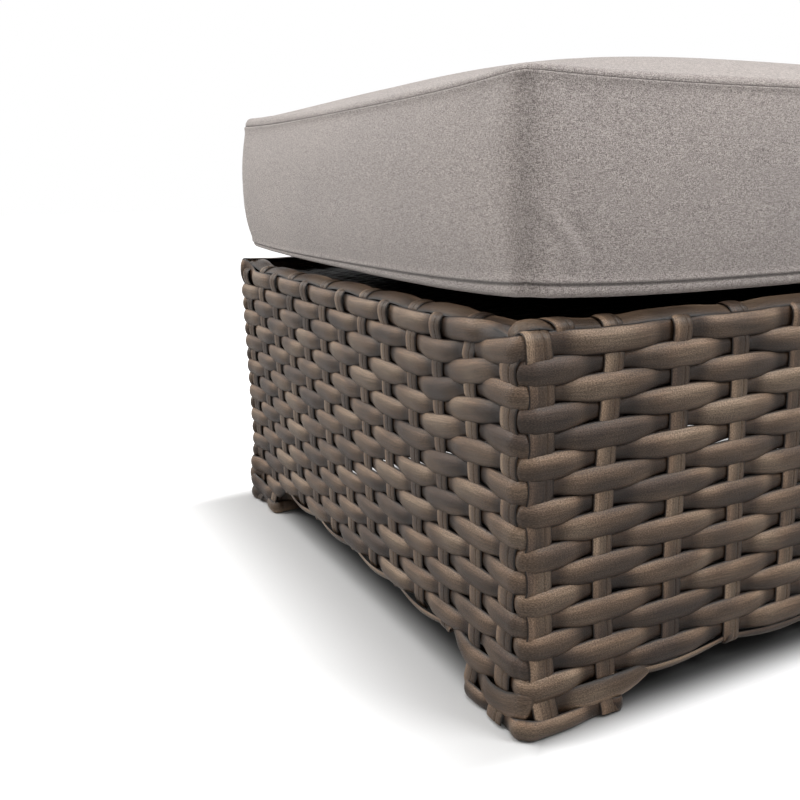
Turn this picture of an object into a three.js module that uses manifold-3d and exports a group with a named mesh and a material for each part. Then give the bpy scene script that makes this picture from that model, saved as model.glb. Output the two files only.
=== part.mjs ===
// An outdoor ottoman footstool: a welded square-tube frame wrapped in wide woven resin strands,
// a woven deck inside a woven rim, four woven corner feet, and a loose boxed cushion with a zip
// at the back. Millimetres, +Z up, the front faces -Y, the origin is on the floor at the centre.

import * as THREE from "three";
import { mergeVertices } from "three/addons/utils/BufferGeometryUtils.js";
import Module from "manifold-3d";

const wasm = await Module();
wasm.setup();

// Body sizes
const bodyWidth = 610;
const bodyDepth = 610;
const frameHeight = 272; // floor to the top of the rails
const touchGap = 0.3; // between pieces that rest on each other
const overrun = 2; // how far a joined piece runs into its partner

// Woven skin sizes
const weaveThickness = 6;
const weaveCornerRadius = 14;
const frontStakes = 11;
const sideStakes = 13;
const frontFirstStake = 16.6; // body corner to the centre of the first upright strand
const sideFirstStake = 18.4;
const stakeWidth = 17;
const stakeMargin = 2; // skin past the second stake of a foot
const frontSkirtBottom = 24.4; // the front and back skirts reach lower than the sides
const sideSkirtBottom = 37;
const footClearance = 1.2;
const borderHeight = 7.4;
const borderThickness = 5;
const borderCorner = 2;
const rimWidth = 21;
const rimThickness = 7.2;
const rimOuterRound = 6;
const rimInnerRound = 2;
const rimPlanRadius = 1; // inner corner of the rim in plan
const deckThickness = 6.4;
const deckCorner = 2;

// Frame sizes
const legSize = 25;
const legWall = 1.5;
const topRailSize = 25;
const bottomRailSize = 20;
const bottomRailBase = 42;
const bearerSize = 20;
const bearerCount = 3;
const thinWall = 1.2;
const tubeCorner = 2;
const loopBar = 6;
const loopHeight = 10;
const loopBase = 8;
const glidePlate = 3;
const glidePlug = 18;
const glideCorner = 3;

// Cushion sizes
const cushionWidth = 592;
const cushionDepth = 592;
const cushionCorner = 24;
const boxingHeight = 126.5;
const topCrown = 42;
const topEdgeRoll = 3.5; // how far the panel stands up before it turns inwards
const bottomCrown = 27.2;
const bottomEdgeRoll = 9;
const coverThickness = 1.2;
const sideBulge = 6;
const seamDrawIn = 3;
const cornerLift = 4;
const foamInset = 7;
const foamRecess = 6; // from each seam to the foam's flat face
const padClearance = 0.4;

// Zip sizes
const zipSlot = 9;
const tapeWidth = 12;
const tapeThickness = 0.8;
const teethWidth = 2.2;
const teethHeight = 0.6;
const sliderLength = 12;
const sliderWidth = 7.6;
const sliderTailWidth = 5;
const sliderThickness = 2.4;
const sliderEndRoom = 10; // from the tape's end to the slider's end
const bridgeLength = 7;
const bridgeHeight = 3.2;
const bridgeWidth = 2.4;
const eyeLength = 3.4;
const eyeHeight = 2.2;
const pullLength = 22;
const pullWidth = 6;
const pullThickness = 1.2;
const pullCorner = 1.5;
const pullWindowLength = 4;
const pullWindowWidth = 3.4;

// Steps of the curved surfaces
const arcSteps = 4;
const cushionSideSteps = 6;
const cushionCornerSteps = 3;
const domeRingShares = [1, 1, 0.985, 0.93, 0.8, 0.58, 0.3];
const liningRings = [0, 2, 4, 6]; // rings that the inner face of a panel keeps
const boxingRowShares = [-1, -0.5, 0, 0.5, 1];
const domeEdgePower = 2.6;
const topRoundPower = 0.9;
const bottomRoundPower = 0.6;
const flatBottomGain = 1.5; // how much of the underside lies flat on the deck
const cornerBulgeShare = 0.75; // bulge left at a corner

// Places that follow from the sizes
const skinInside = weaveThickness + touchGap;
const legInside = skinInside + legSize;
const frontFoot = footReach(bodyWidth, frontStakes, frontFirstStake);
const sideFoot = footReach(bodyDepth, sideStakes, sideFirstStake);
const deckBase = frameHeight + touchGap;
const deckTop = deckBase + deckThickness;
const bottomSeam = deckTop + touchGap + bottomCrown;
const topSeam = bottomSeam + boxingHeight;
const cushionMiddle = (bottomSeam + topSeam) / 2;
const halfCushionDepth = cushionDepth / 2;
const teethFace = halfCushionDepth + sideBulge * cornerBulgeShare - coverThickness - touchGap;
const sliderBase = teethFace + touchGap;
const sliderFace = sliderBase + sliderThickness;
const tapeHalfLength = cushionWidth / 2 - cushionCorner - touchGap;
const sliderRest = tapeHalfLength - sliderEndRoom - sliderLength / 2;

const corners = [
  { name: "front_left", sx: -1, sy: -1 },
  { name: "front_right", sx: 1, sy: -1 },
  { name: "back_right", sx: 1, sy: 1 },
  { name: "back_left", sx: -1, sy: 1 },
];
const sides = [
  { name: "front", turn: 0, ...faceSizes() },
  { name: "right", turn: Math.PI / 2, ...flankSizes() },
  { name: "back", turn: Math.PI, ...faceSizes() },
  { name: "left", turn: -Math.PI / 2, ...flankSizes() },
];

// Materials
const coatedAluminium = () => finish(0x3a322c, 0.55, 0.35);
const blackPlastic = () => finish(0x1d1c1b, 0.6, 0);
const resinWeave = () => finish(0x7f7164, 0.55, 0);
const resinDeck = () => finish(0x6f6358, 0.6, 0);
const taupeFabric = () => finish(0xa69c95, 0.95, 0);
const upholsteryFoam = () => finish(0xe9e2cf, 1, 0);
const polyesterFibre = () => finish(0xf2f1ec, 1, 0);
const zipTape = () => finish(0x8d857e, 0.9, 0);
const paintedZinc = () => finish(0x77706a, 0.4, 0.8);

const part = new THREE.Group();
const frame = new THREE.Group();
const skin = new THREE.Group();
const cushion = new THREE.Group();
part.add(frame, skin, cushion);

for (const corner of corners) {
  addPiece(frame, `leg_${corner.name}`, leg(corner), coatedAluminium());
  addPiece(frame, `foot_loop_${corner.name}`, footLoop(corner), coatedAluminium());
  addPiece(frame, `glide_${corner.name}`, glide(corner), blackPlastic());
  addPiece(skin, `corner_weave_${corner.name}`, cornerWeave(corner), resinWeave());
  addPiece(skin, `foot_inner_weave_${corner.name}`, footInnerWeave(corner), resinWeave());
}
for (const side of sides) {
  const turned = new THREE.Group();
  turned.rotation.z = side.turn;
  part.add(turned);
  addPiece(turned, `top_rail_${side.name}`, topRail(side), coatedAluminium());
  addPiece(turned, `bottom_rail_${side.name}`, bottomRail(side), coatedAluminium());
  addPiece(turned, `weave_${side.name}`, weavePanel(side), resinWeave());
  addPiece(turned, `rim_${side.name}`, rimStrand(side), resinWeave());
  addPiece(turned, `bottom_border_${side.name}`, bottomBorder(side), resinWeave());
}
for (let i = 0; i < bearerCount; i++) {
  addPiece(frame, `deck_bearer_${i + 1}`, deckBearer(i), coatedAluminium());
}
addPiece(skin, "woven_deck", wovenDeck(), resinDeck());

addPiece(cushion, "cushion_foam_core", foamCore(), upholsteryFoam());
addPiece(cushion, "cushion_top_pad", fibrePad(1), polyesterFibre());
addPiece(cushion, "cushion_bottom_pad", fibrePad(-1), polyesterFibre());
addPiece(cushion, "cushion_top_panel", crownedPanel(1), taupeFabric());
addPiece(cushion, "cushion_bottom_panel", crownedPanel(-1), taupeFabric());
addPiece(cushion, "cushion_boxing_strip", boxingStrip(), taupeFabric());
addPiece(cushion, "zip_boxing_upper", zipBoxing(1), taupeFabric());
addPiece(cushion, "zip_boxing_lower", zipBoxing(-1), taupeFabric());
addPiece(cushion, "zip_tape_upper", zipTapeHalf(1), zipTape());
addPiece(cushion, "zip_tape_lower", zipTapeHalf(-1), zipTape());
addPiece(cushion, "zip_slider", zipSlider(), paintedZinc());
addPiece(cushion, "zip_pull", zipPull(), paintedZinc());

// General helpers

function finish(color, roughness, metalness) {
  return new THREE.MeshStandardMaterial({ color, roughness, metalness });
}

function addPiece(parent, name, geometry, material) {
  const mesh = new THREE.Mesh(geometry, material);
  mesh.name = name;
  parent.add(mesh);
}

// Sizes shared by the front and the back, and by the left and the right
function faceSizes() {
  return { along: bodyWidth, half: bodyDepth / 2, foot: frontFoot, skirt: frontSkirtBottom };
}

function flankSizes() {
  return { along: bodyDepth, half: bodyWidth / 2, foot: sideFoot, skirt: sideSkirtBottom };
}

// A foot is two stakes wide on each face
function footReach(length, stakes, first) {
  const pitch = (length - 2 * first) / (stakes - 1);
  return first + pitch + stakeWidth / 2 + stakeMargin;
}

function arcPoints(x, y, radius, from, to) {
  return Array.from({ length: arcSteps + 1 }, (_, i) => {
    const angle = from + ((to - from) * i) / arcSteps;
    return [x + radius * Math.cos(angle), y + radius * Math.sin(angle)];
  });
}

function roundedRect(shape, width, height, radius) {
  const [x, y] = [width / 2 - radius, height / 2 - radius];
  shape.absarc(x, y, radius, 0, Math.PI / 2);
  shape.absarc(-x, y, radius, Math.PI / 2, Math.PI);
  shape.absarc(-x, -y, radius, Math.PI, 1.5 * Math.PI);
  shape.absarc(x, -y, radius, 1.5 * Math.PI, 2 * Math.PI);
  return shape;
}

function upright(shape, low, high) {
  const options = { depth: high - low, bevelEnabled: false, curveSegments: arcSteps };
  return new THREE.ExtrudeGeometry(shape, options).translate(0, 0, low);
}

// A shape drawn in Y and Z and run along X, centred on x = 0
function lengthwise(shape, length) {
  const options = { depth: length, bevelEnabled: false, curveSegments: arcSteps };
  const solid = new THREE.ExtrudeGeometry(shape, options).translate(0, 0, -length / 2);
  return solid.rotateX(Math.PI / 2).rotateZ(Math.PI / 2);
}

function tubeShape(size, wall) {
  const shape = roundedRect(new THREE.Shape(), size, size, tubeCorner);
  const bore = size - 2 * wall;
  shape.holes.push(roundedRect(new THREE.Path(), bore, bore, tubeCorner / 2));
  return shape;
}

// Points given inwards from a body corner, as distances along X and Y
function cornerShape({ sx, sy }, points) {
  const place = ([u, v]) => new THREE.Vector2(sx * (bodyWidth / 2 - u), sy * (bodyDepth / 2 - v));
  return new THREE.Shape(points.map(place));
}

function toManifold(geometry) {
  const bare = geometry.clone();
  bare.deleteAttribute("normal");
  bare.deleteAttribute("uv");
  const merged = mergeVertices(bare.index ? bare.toNonIndexed() : bare);
  const vertProperties = new Float32Array(merged.attributes.position.array);
  const triVerts = new Uint32Array(merged.index.array);
  return new wasm.Manifold(new wasm.Mesh({ numProp: 3, vertProperties, triVerts }));
}

function joined(first, second) {
  const mesh = toManifold(first).add(toManifold(second)).getMesh();
  const geometry = new THREE.BufferGeometry();
  geometry.setAttribute("position", new THREE.BufferAttribute(mesh.vertProperties, 3));
  geometry.setIndex(new THREE.BufferAttribute(mesh.triVerts, 1));
  geometry.computeVertexNormals();
  return geometry;
}

// Frame

function legCentre({ sx, sy }) {
  const inset = skinInside + legSize / 2;
  return [sx * (bodyWidth / 2 - inset), sy * (bodyDepth / 2 - inset)];
}

function leg(corner) {
  const [x, y] = legCentre(corner);
  const tube = upright(tubeShape(legSize, legWall), glidePlate + touchGap, frameHeight);
  return tube.translate(x, y, 0);
}

// A plate under the leg with a square plug that fits the bore of the tube
function glide(corner) {
  const [x, y] = legCentre(corner);
  const plugSize = legSize - 2 * legWall - 2 * touchGap;
  const plate = roundedRect(new THREE.Shape(), legSize, legSize, glideCorner);
  const plug = roundedRect(new THREE.Shape(), plugSize, plugSize, tubeCorner);
  const body = joined(
    upright(plate, 0, glidePlate),
    upright(plug, glidePlate - overrun, glidePlate + glidePlug),
  );
  return body.translate(x, y, 0);
}

// Flat bar from one face of the leg, round the inside of the woven foot, to the other face
function footLoop(corner) {
  const [uEnd, vEnd] = [frontFoot - skinInside, sideFoot - skinInside];
  const start = legInside + touchGap;
  const shape = cornerShape(corner, [
    [start, skinInside],
    [uEnd, skinInside],
    [uEnd, vEnd],
    [skinInside, vEnd],
    [skinInside, start],
    [skinInside + loopBar, start],
    [skinInside + loopBar, vEnd - loopBar],
    [uEnd - loopBar, vEnd - loopBar],
    [uEnd - loopBar, skinInside + loopBar],
    [start, skinInside + loopBar],
  ]);
  return upright(shape, loopBase, loopBase + loopHeight);
}

function railLength(side) {
  return side.along - 2 * (legInside + touchGap);
}

function topRail(side) {
  const rail = lengthwise(tubeShape(topRailSize, legWall), railLength(side));
  const y = -side.half + skinInside + topRailSize / 2;
  return rail.translate(0, y, frameHeight - topRailSize / 2);
}

function bottomRail(side) {
  const rail = lengthwise(tubeShape(bottomRailSize, thinWall), railLength(side));
  const y = -side.half + skinInside + bottomRailSize / 2;
  return rail.translate(0, y, bottomRailBase + bottomRailSize / 2);
}

function deckBearer(index) {
  const clear = skinInside + topRailSize + touchGap;
  const tube = lengthwise(tubeShape(bearerSize, thinWall), bodyDepth - 2 * clear);
  const share = (index + 1) / (bearerCount + 1);
  const x = (bodyWidth - 2 * clear) * (share - 1 / 2);
  return tube.rotateZ(Math.PI / 2).translate(x, 0, frameHeight - bearerSize / 2);
}

// Woven skin

function cornerWeave(corner) {
  const [r, t] = [weaveCornerRadius, weaveThickness];
  const inner = t + tubeCorner;
  const shape = cornerShape(corner, [
    [frontFoot, 0],
    ...arcPoints(r, r, r, -Math.PI / 2, -Math.PI),
    [0, sideFoot],
    [t, sideFoot],
    ...arcPoints(inner, inner, tubeCorner, -Math.PI, -Math.PI / 2),
    [frontFoot, t],
  ]);
  return upright(shape, footClearance, frameHeight);
}

// The two inner faces of a foot, up to the underside of the bottom rails
function footInnerWeave(corner) {
  const [t, start] = [weaveThickness, skinInside];
  const [x, y, r] = [frontFoot - tubeCorner, sideFoot - tubeCorner, tubeCorner];
  const shape = cornerShape(corner, [
    [frontFoot, start],
    ...arcPoints(x, y, r, 0, Math.PI / 2),
    [start, sideFoot],
    [start, sideFoot - t],
    [frontFoot - t, sideFoot - t],
    [frontFoot - t, start],
  ]);
  return upright(shape, footClearance, bottomRailBase - touchGap);
}

function panelLength(side) {
  return side.along - 2 * (side.foot + touchGap);
}

function weavePanel(side) {
  const height = frameHeight - side.skirt;
  const panel = new THREE.BoxGeometry(panelLength(side), weaveThickness, height);
  const y = -side.half + weaveThickness / 2;
  return panel.translate(0, y, side.skirt + height / 2);
}

function bottomBorder(side) {
  const shape = roundedRect(new THREE.Shape(), borderThickness, borderHeight, borderCorner);
  const strand = lengthwise(shape, panelLength(side));
  const y = -side.half + weaveThickness / 2;
  return strand.translate(0, y, side.skirt - touchGap - borderHeight / 2);
}

// The rim's section, as inward distance and height
function rimSection() {
  const [low, high] = [deckBase, deckBase + rimThickness];
  const [outer, inner] = [rimOuterRound, rimInnerRound];
  return [
    [0, low],
    ...arcPoints(outer, high - outer, outer, Math.PI, Math.PI / 2),
    ...arcPoints(rimWidth - inner, high - inner, inner, Math.PI / 2, 0),
    [rimWidth, low],
  ];
}

// One side of the rim, with half of each rounded corner, cut on the corner's diagonal
function rimStrand(side) {
  const section = rimSection();
  const bend = Math.PI / 4;
  const cut = (touchGap / 2) * Math.SQRT1_2;
  const rows = [];
  for (const end of [-1, 1]) {
    for (let i = 0; i <= arcSteps; i++) {
      const angle = end < 0 ? bend * (1 - i / arcSteps) : (bend * i) / arcSteps;
      const atCut = end < 0 ? i === 0 : i === arcSteps;
      rows.push(
        section.map(([d, z]) => {
          const radius = Math.max(weaveCornerRadius - d, rimPlanRadius);
          const x = side.along / 2 - d - radius + radius * Math.sin(angle);
          const y = -side.half + d + radius - radius * Math.cos(angle);
          const back = atCut ? cut : 0;
          return new THREE.Vector3(end * (x - back), y - back, z);
        }),
      );
    }
  }
  return loftGeometry(rows);
}

function wovenDeck() {
  const clear = rimWidth + touchGap;
  const [width, depth] = [bodyWidth - 2 * clear, bodyDepth - 2 * clear];
  const slab = roundedRect(new THREE.Shape(), width, depth, deckCorner);
  return upright(slab, deckBase, deckTop);
}

// Surfaces built from rows of points

function gridGeometry(points, faces) {
  const geometry = new THREE.BufferGeometry().setFromPoints(points);
  geometry.setIndex(faces.flat());
  if (toManifold(geometry).volume() < 0) geometry.setIndex(faces.flatMap(([a, b, c]) => [a, c, b]));
  geometry.computeVertexNormals();
  return geometry;
}

// Closed sections joined in order, with flat ends
function loftGeometry(rows) {
  const count = rows[0].length;
  const faces = [];
  for (let i = 0; i + 1 < rows.length; i++) {
    for (let j = 0; j < count; j++) {
      const [a, b] = [i * count + j, i * count + ((j + 1) % count)];
      faces.push([a, b, b + count], [a, b + count, a + count]);
    }
  }
  const last = (rows.length - 1) * count;
  const outline = rows[0].map((p) => new THREE.Vector2(p.y, p.z));
  const turn = (points) => Math.sign(THREE.ShapeUtils.area(points));
  for (const face of THREE.ShapeUtils.triangulateShape(outline, [])) {
    const alike = turn(face.map((i) => outline[i])) === turn(outline);
    const [a, b, c] = alike ? face : [...face].reverse();
    faces.push([c, b, a], [last + a, last + b, last + c]);
  }
  return gridGeometry(rows.flat(), faces);
}

// A sheet between two grids of rows, open at its four edges in both grids
function sheetGeometry(outer, inner) {
  const [rows, count] = [outer.length, outer[0].length];
  const shift = rows * count;
  const faces = [];
  const quad = (a, b, c, d) => faces.push([a, b, c], [a, c, d]);
  for (let i = 0; i + 1 < rows; i++) {
    for (let j = 0; j + 1 < count; j++) {
      const [a, b] = [i * count + j, i * count + j + 1];
      quad(a, b, b + count, a + count);
      quad(a + shift, a + count + shift, b + count + shift, b + shift);
    }
  }
  const edge = [];
  for (let j = 0; j + 1 < count; j++) edge.push(j);
  for (let i = 0; i + 1 < rows; i++) edge.push(i * count + count - 1);
  for (let j = count - 1; j > 0; j--) edge.push((rows - 1) * count + j);
  for (let i = rows - 1; i > 0; i--) edge.push(i * count);
  edge.forEach((a, i) => {
    const b = edge[(i + 1) % edge.length];
    quad(b, a, a + shift, b + shift);
  });
  return gridGeometry([...outer.flat(), ...inner.flat()], faces);
}

// Rings that close on themselves, capped at both ends by a point; quads split on the short diagonal
function ringGeometry(rings, firstPoint, lastPoint) {
  const count = rings[0].length;
  const points = rings.flat();
  const apart = (a, b) => points[a].distanceToSquared(points[b]);
  const faces = [];
  const [first, last] = [rings.length * count, rings.length * count + 1];
  const lastRing = (rings.length - 1) * count;
  for (let j = 0; j < count; j++) {
    const next = (j + 1) % count;
    faces.push([first, next, j], [last, lastRing + j, lastRing + next]);
    for (let i = 0; i + 1 < rings.length; i++) {
      const [a, b, c, d] = [j, next, next + count, j + count].map((k) => i * count + k);
      if (apart(a, c) < apart(b, d)) faces.push([a, b, c], [a, c, d]);
      else faces.push([a, b, d], [b, c, d]);
    }
  }
  return gridGeometry([...points, firstPoint, lastPoint], faces);
}

// Cushion surfaces

// Points round the cushion: place, outward direction, and how near to a corner along the side
function cushionOutline() {
  const [halfX, halfY, r] = [cushionWidth / 2, cushionDepth / 2, cushionCorner];
  const points = [];
  for (let k = 0; k < 4; k++) {
    const turn = (k * Math.PI) / 2;
    const [along, across] = k % 2 ? [halfY, halfX] : [halfX, halfY];
    const turned = (x, y) => new THREE.Vector2(x, y).rotateAround(new THREE.Vector2(), turn);
    for (let i = 0; i <= cushionSideSteps; i++) {
      const share = (2 * i) / cushionSideSteps - 1;
      points.push({ place: turned(share * (along - r), -across), out: turned(0, -1), share });
    }
    for (let i = 1; i < cushionCornerSteps; i++) {
      const angle = ((i / cushionCornerSteps - 1) * Math.PI) / 2;
      const out = new THREE.Vector2(Math.cos(angle), Math.sin(angle));
      const centre = new THREE.Vector2(along - r, r - across);
      const place = centre.addScaledVector(out, r).rotateAround(new THREE.Vector2(), turn);
      points.push({ place, out: out.rotateAround(new THREE.Vector2(), turn), share: 1 });
    }
  }
  return points;
}

// The cover's outer face at a height share from -1 (bottom seam) to 1 (top seam), less an inset
function coverPoint({ place, out, share }, height, inset) {
  const bulge = sideBulge * (1 - height ** 2) * (1 - (1 - cornerBulgeShare) * share ** 8);
  const drawIn = seamDrawIn * (1 - share ** 2) * height ** 2;
  const at = place.clone().addScaledVector(out, bulge - drawIn - inset);
  const lift = cornerLift * share ** 4 * height ** 2;
  return new THREE.Vector3(at.x, at.y, cushionMiddle + (boxingHeight / 2) * height + lift);
}

// Height of a crowned panel over its seam, from the share of the way out along X and along Y
function crownHeight(side, ring, share) {
  const power = side > 0 ? topRoundPower : bottomRoundPower;
  const arch = (u) => (1 - u ** domeEdgePower) ** power;
  const rise = arch(ring) * arch(ring * share);
  if (side > 0) return topEdgeRoll + (topCrown - topEdgeRoll) * rise;
  const flat = Math.min(1, flatBottomGain * rise);
  return -bottomEdgeRoll - (bottomCrown - bottomEdgeRoll) * flat;
}

// Rings of a crowned panel from its seam to its middle, and the middle point
function domeRings(side) {
  const outline = cushionOutline();
  const seam = outline.map((point) => coverPoint(point, side, 0));
  const level = side > 0 ? topSeam : bottomSeam;
  const rings = domeRingShares.map((ring, i) =>
    seam.map((p, j) => {
      const lift = (p.z - level) * ring ** 4;
      const crown = i === 0 ? 0 : crownHeight(side, ring, Math.abs(outline[j].share));
      return new THREE.Vector3(p.x * ring, p.y * ring, level + lift + crown);
    }),
  );
  return { outline, rings, middle: new THREE.Vector3(0, 0, level + crownHeight(side, 0, 0)) };
}

// Direction out of a dome at one of its rings, from the slope between its neighbours
function domeNormal(rings, middle, side, i, j) {
  const before = rings[Math.max(i - 1, 0)][j];
  const after = i + 1 < rings.length ? rings[i + 1][j] : middle;
  const run = new THREE.Vector2(before.x - after.x, before.y - after.y);
  const slope = new THREE.Vector2(Math.abs(after.z - before.z), run.length()).normalize();
  run.normalize().multiplyScalar(slope.x);
  return new THREE.Vector3(run.x, run.y, side * slope.y);
}

// Lining rings moved in by a depth, along the surface's own direction; the seam ring moves level
function insetRings({ outline, rings, middle }, side, depth) {
  return liningRings.map((i) =>
    rings[i].map((p, j) => {
      const { out } = outline[j];
      const level = new THREE.Vector3(out.x, out.y, 0);
      const direction = i === 0 ? level : domeNormal(rings, middle, side, i, j);
      return p.clone().addScaledVector(direction, -depth);
    }),
  );
}

function crownedPanel(side) {
  const dome = domeRings(side);
  const seamGap = new THREE.Vector3(0, 0, side * touchGap);
  const inner = insetRings(dome, side, coverThickness);
  dome.rings[0] = dome.rings[0].map((p) => p.clone().add(seamGap));
  inner[0] = inner[0].map((p) => p.clone().add(seamGap));
  const under = dome.middle.clone().setZ(dome.middle.z - side * coverThickness);
  return ringGeometry([...dome.rings.reverse(), ...inner], dome.middle, under);
}

// Fibre pad that fills the space between the foam's flat face and the crowned panel
function fibrePad(side) {
  const dome = domeRings(side);
  const depth = coverThickness + padClearance;
  const rings = insetRings(dome, side, depth).slice(1);
  const flat = foamFace(side) + side * touchGap;
  const base = rings[0].map((p) => p.clone().setZ(flat));
  const top = dome.middle.clone().setZ(dome.middle.z - side * depth);
  return ringGeometry([...rings.reverse(), base], top, new THREE.Vector3(0, 0, flat));
}

function foamFace(side) {
  return cushionMiddle + side * (boxingHeight / 2 - foamRecess);
}

function foamCore() {
  const outline = cushionOutline();
  const rings = boxingRowShares.map((height) => {
    const z = cushionMiddle + (foamFace(1) - cushionMiddle) * height;
    return outline.map((point) => coverPoint(point, height, foamInset).setZ(z));
  });
  const cap = (side) => new THREE.Vector3(0, 0, foamFace(side));
  return ringGeometry(rings, cap(-1), cap(1));
}

// One long strip round the front and both sides, from one end of the zip to the other
function boxingStrip() {
  const outline = cushionOutline();
  const sideCount = cushionSideSteps + cushionCornerSteps;
  const backStart = 2 * sideCount;
  const backEnd = backStart + cushionSideSteps;
  const count = outline.length;
  const strip = Array.from({ length: count - cushionSideSteps + 1 }, (_, i) => {
    return outline[(backEnd + i) % count];
  });
  return boxingSheet(strip, boxingRowShares);
}

// A half of the back boxing, above or below the zip's slot
function zipBoxing(side) {
  const sideCount = cushionSideSteps + cushionCornerSteps;
  const back = cushionOutline().slice(2 * sideCount, 2 * sideCount + cushionSideSteps + 1);
  back.forEach(({ place, share }) => {
    if (Math.abs(share) === 1) place.x -= Math.sign(place.x) * touchGap;
  });
  const slotEdge = zipSlot / boxingHeight;
  return boxingSheet(back, [side * slotEdge, (side * (1 + slotEdge)) / 2, side]);
}

function boxingSheet(outline, heights) {
  const rows = (inset) =>
    heights.map((height) => outline.map((point) => coverPoint(point, height, inset)));
  return sheetGeometry(rows(0), rows(coverThickness));
}

// Zip

// One tape with its ridge of teeth, drawn in Y and Z and run along X
function zipTapeHalf(side) {
  const start = touchGap / 2;
  const tapeFace = teethFace - teethHeight;
  const section = [
    [teethFace, start],
    [teethFace, start + teethWidth],
    [tapeFace, start + teethWidth],
    [tapeFace, start + tapeWidth],
    [tapeFace - tapeThickness, start + tapeWidth],
    [tapeFace - tapeThickness, start],
  ];
  const shape = new THREE.Shape(section.map(([y, z]) => new THREE.Vector2(y, side * z)));
  return lengthwise(shape, 2 * tapeHalfLength).translate(0, 0, cushionMiddle);
}

// A shape drawn in X and Z and given its thickness along Y
function facing(shape, near, far) {
  const options = { depth: far - near, bevelEnabled: false, curveSegments: arcSteps };
  return new THREE.ExtrudeGeometry(shape, options).rotateX(Math.PI / 2).translate(0, far, 0);
}

// Slider body, wide at its nose, with a bridge that holds the pull
function zipSlider() {
  const [nose, tail, back] = [sliderWidth / 2, sliderTailWidth / 2, sliderLength / 2];
  const body = new THREE.Shape([
    new THREE.Vector2(-back, nose),
    new THREE.Vector2(0, nose),
    new THREE.Vector2(back, tail),
    new THREE.Vector2(back, -tail),
    new THREE.Vector2(0, -nose),
    new THREE.Vector2(-back, -nose),
  ]);
  const plate = facing(body, sliderBase, sliderFace);
  const slider = joined(plate, sliderBridge());
  return slider.translate(sliderRest, 0, cushionMiddle);
}

function sliderBridge() {
  const [outer, eye] = [bridgeLength / 2, eyeLength / 2];
  const foot = sliderFace - sliderThickness / 2;
  const shape = new THREE.Shape([
    new THREE.Vector2(-outer, foot),
    new THREE.Vector2(-outer, sliderFace + bridgeHeight),
    new THREE.Vector2(outer, sliderFace + bridgeHeight),
    new THREE.Vector2(outer, foot),
    new THREE.Vector2(eye, foot),
    new THREE.Vector2(eye, sliderFace + eyeHeight),
    new THREE.Vector2(-eye, sliderFace + eyeHeight),
    new THREE.Vector2(-eye, foot),
  ]);
  return upright(shape, -bridgeWidth / 2, bridgeWidth / 2);
}

// A tab with a window round the bridge; its end bar lies in the bridge's eye
function zipPull() {
  const axis = sliderFace + eyeHeight / 2;
  const bar = pullThickness / 2;
  const outline = roundedRect(new THREE.Shape(), pullLength, pullWidth, pullCorner);
  const [inner, outer] = [bar, bar + pullWindowLength];
  const middle = pullLength / 2 - bar;
  const window = [
    new THREE.Vector2(inner - middle, -pullWindowWidth / 2),
    new THREE.Vector2(outer - middle, -pullWindowWidth / 2),
    new THREE.Vector2(outer - middle, pullWindowWidth / 2),
    new THREE.Vector2(inner - middle, pullWindowWidth / 2),
  ];
  outline.holes.push(new THREE.Path(window));
  const tab = facing(outline, axis - bar, axis + bar);
  return tab.translate(sliderRest + middle, 0, cushionMiddle);
}

export default part;
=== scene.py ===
"""Outdoor ottoman footstool: woven resin over an aluminium frame, with a loose boxed cushion.
+Z is up and the front faces -Y. Lengths are in mm until MM turns them to metres."""

import math
import random

import bpy
import numpy as np
from mathutils import Matrix, Vector


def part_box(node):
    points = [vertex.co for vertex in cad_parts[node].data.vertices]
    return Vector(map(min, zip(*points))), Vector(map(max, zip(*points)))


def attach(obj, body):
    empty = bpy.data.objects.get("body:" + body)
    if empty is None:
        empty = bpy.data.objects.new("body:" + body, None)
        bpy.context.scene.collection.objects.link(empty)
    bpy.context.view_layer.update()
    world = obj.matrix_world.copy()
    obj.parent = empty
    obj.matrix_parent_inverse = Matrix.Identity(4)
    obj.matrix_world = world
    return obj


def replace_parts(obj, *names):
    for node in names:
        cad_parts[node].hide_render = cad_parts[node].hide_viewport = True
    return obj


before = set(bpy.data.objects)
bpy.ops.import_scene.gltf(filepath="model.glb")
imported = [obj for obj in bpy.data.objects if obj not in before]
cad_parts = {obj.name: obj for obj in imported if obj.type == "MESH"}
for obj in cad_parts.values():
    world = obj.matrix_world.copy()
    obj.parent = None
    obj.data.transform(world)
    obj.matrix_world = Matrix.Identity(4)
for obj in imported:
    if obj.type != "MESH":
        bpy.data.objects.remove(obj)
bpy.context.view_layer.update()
random.seed(11)

MM = 0.001

# Places taken from the frame


def corner_of(node, high):
    """The low (False) or high (True) corner of a node of the frame, mm."""
    return np.array(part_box(node)[int(high)]) / MM


HALF = corner_of("corner_weave_back_right", True)[0]
FOOT_FRONT, FOOT_SIDE = corner_of("corner_weave_front_left", True)[:2] + HALF
front_skirt = corner_of("weave_front", False)[2]
side_skirt = corner_of("weave_left", False)[2]
deck_low = corner_of("woven_deck", False)
deck_high = corner_of("woven_deck", True)
cushion_top = corner_of("cushion_top_panel", True)[2]
cushion_floor = corner_of("cushion_bottom_panel", False)[2]
tape_low = corner_of("zip_tape_lower", False)
tape_high = corner_of("zip_tape_upper", True)

# Strand sizes and places

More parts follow.
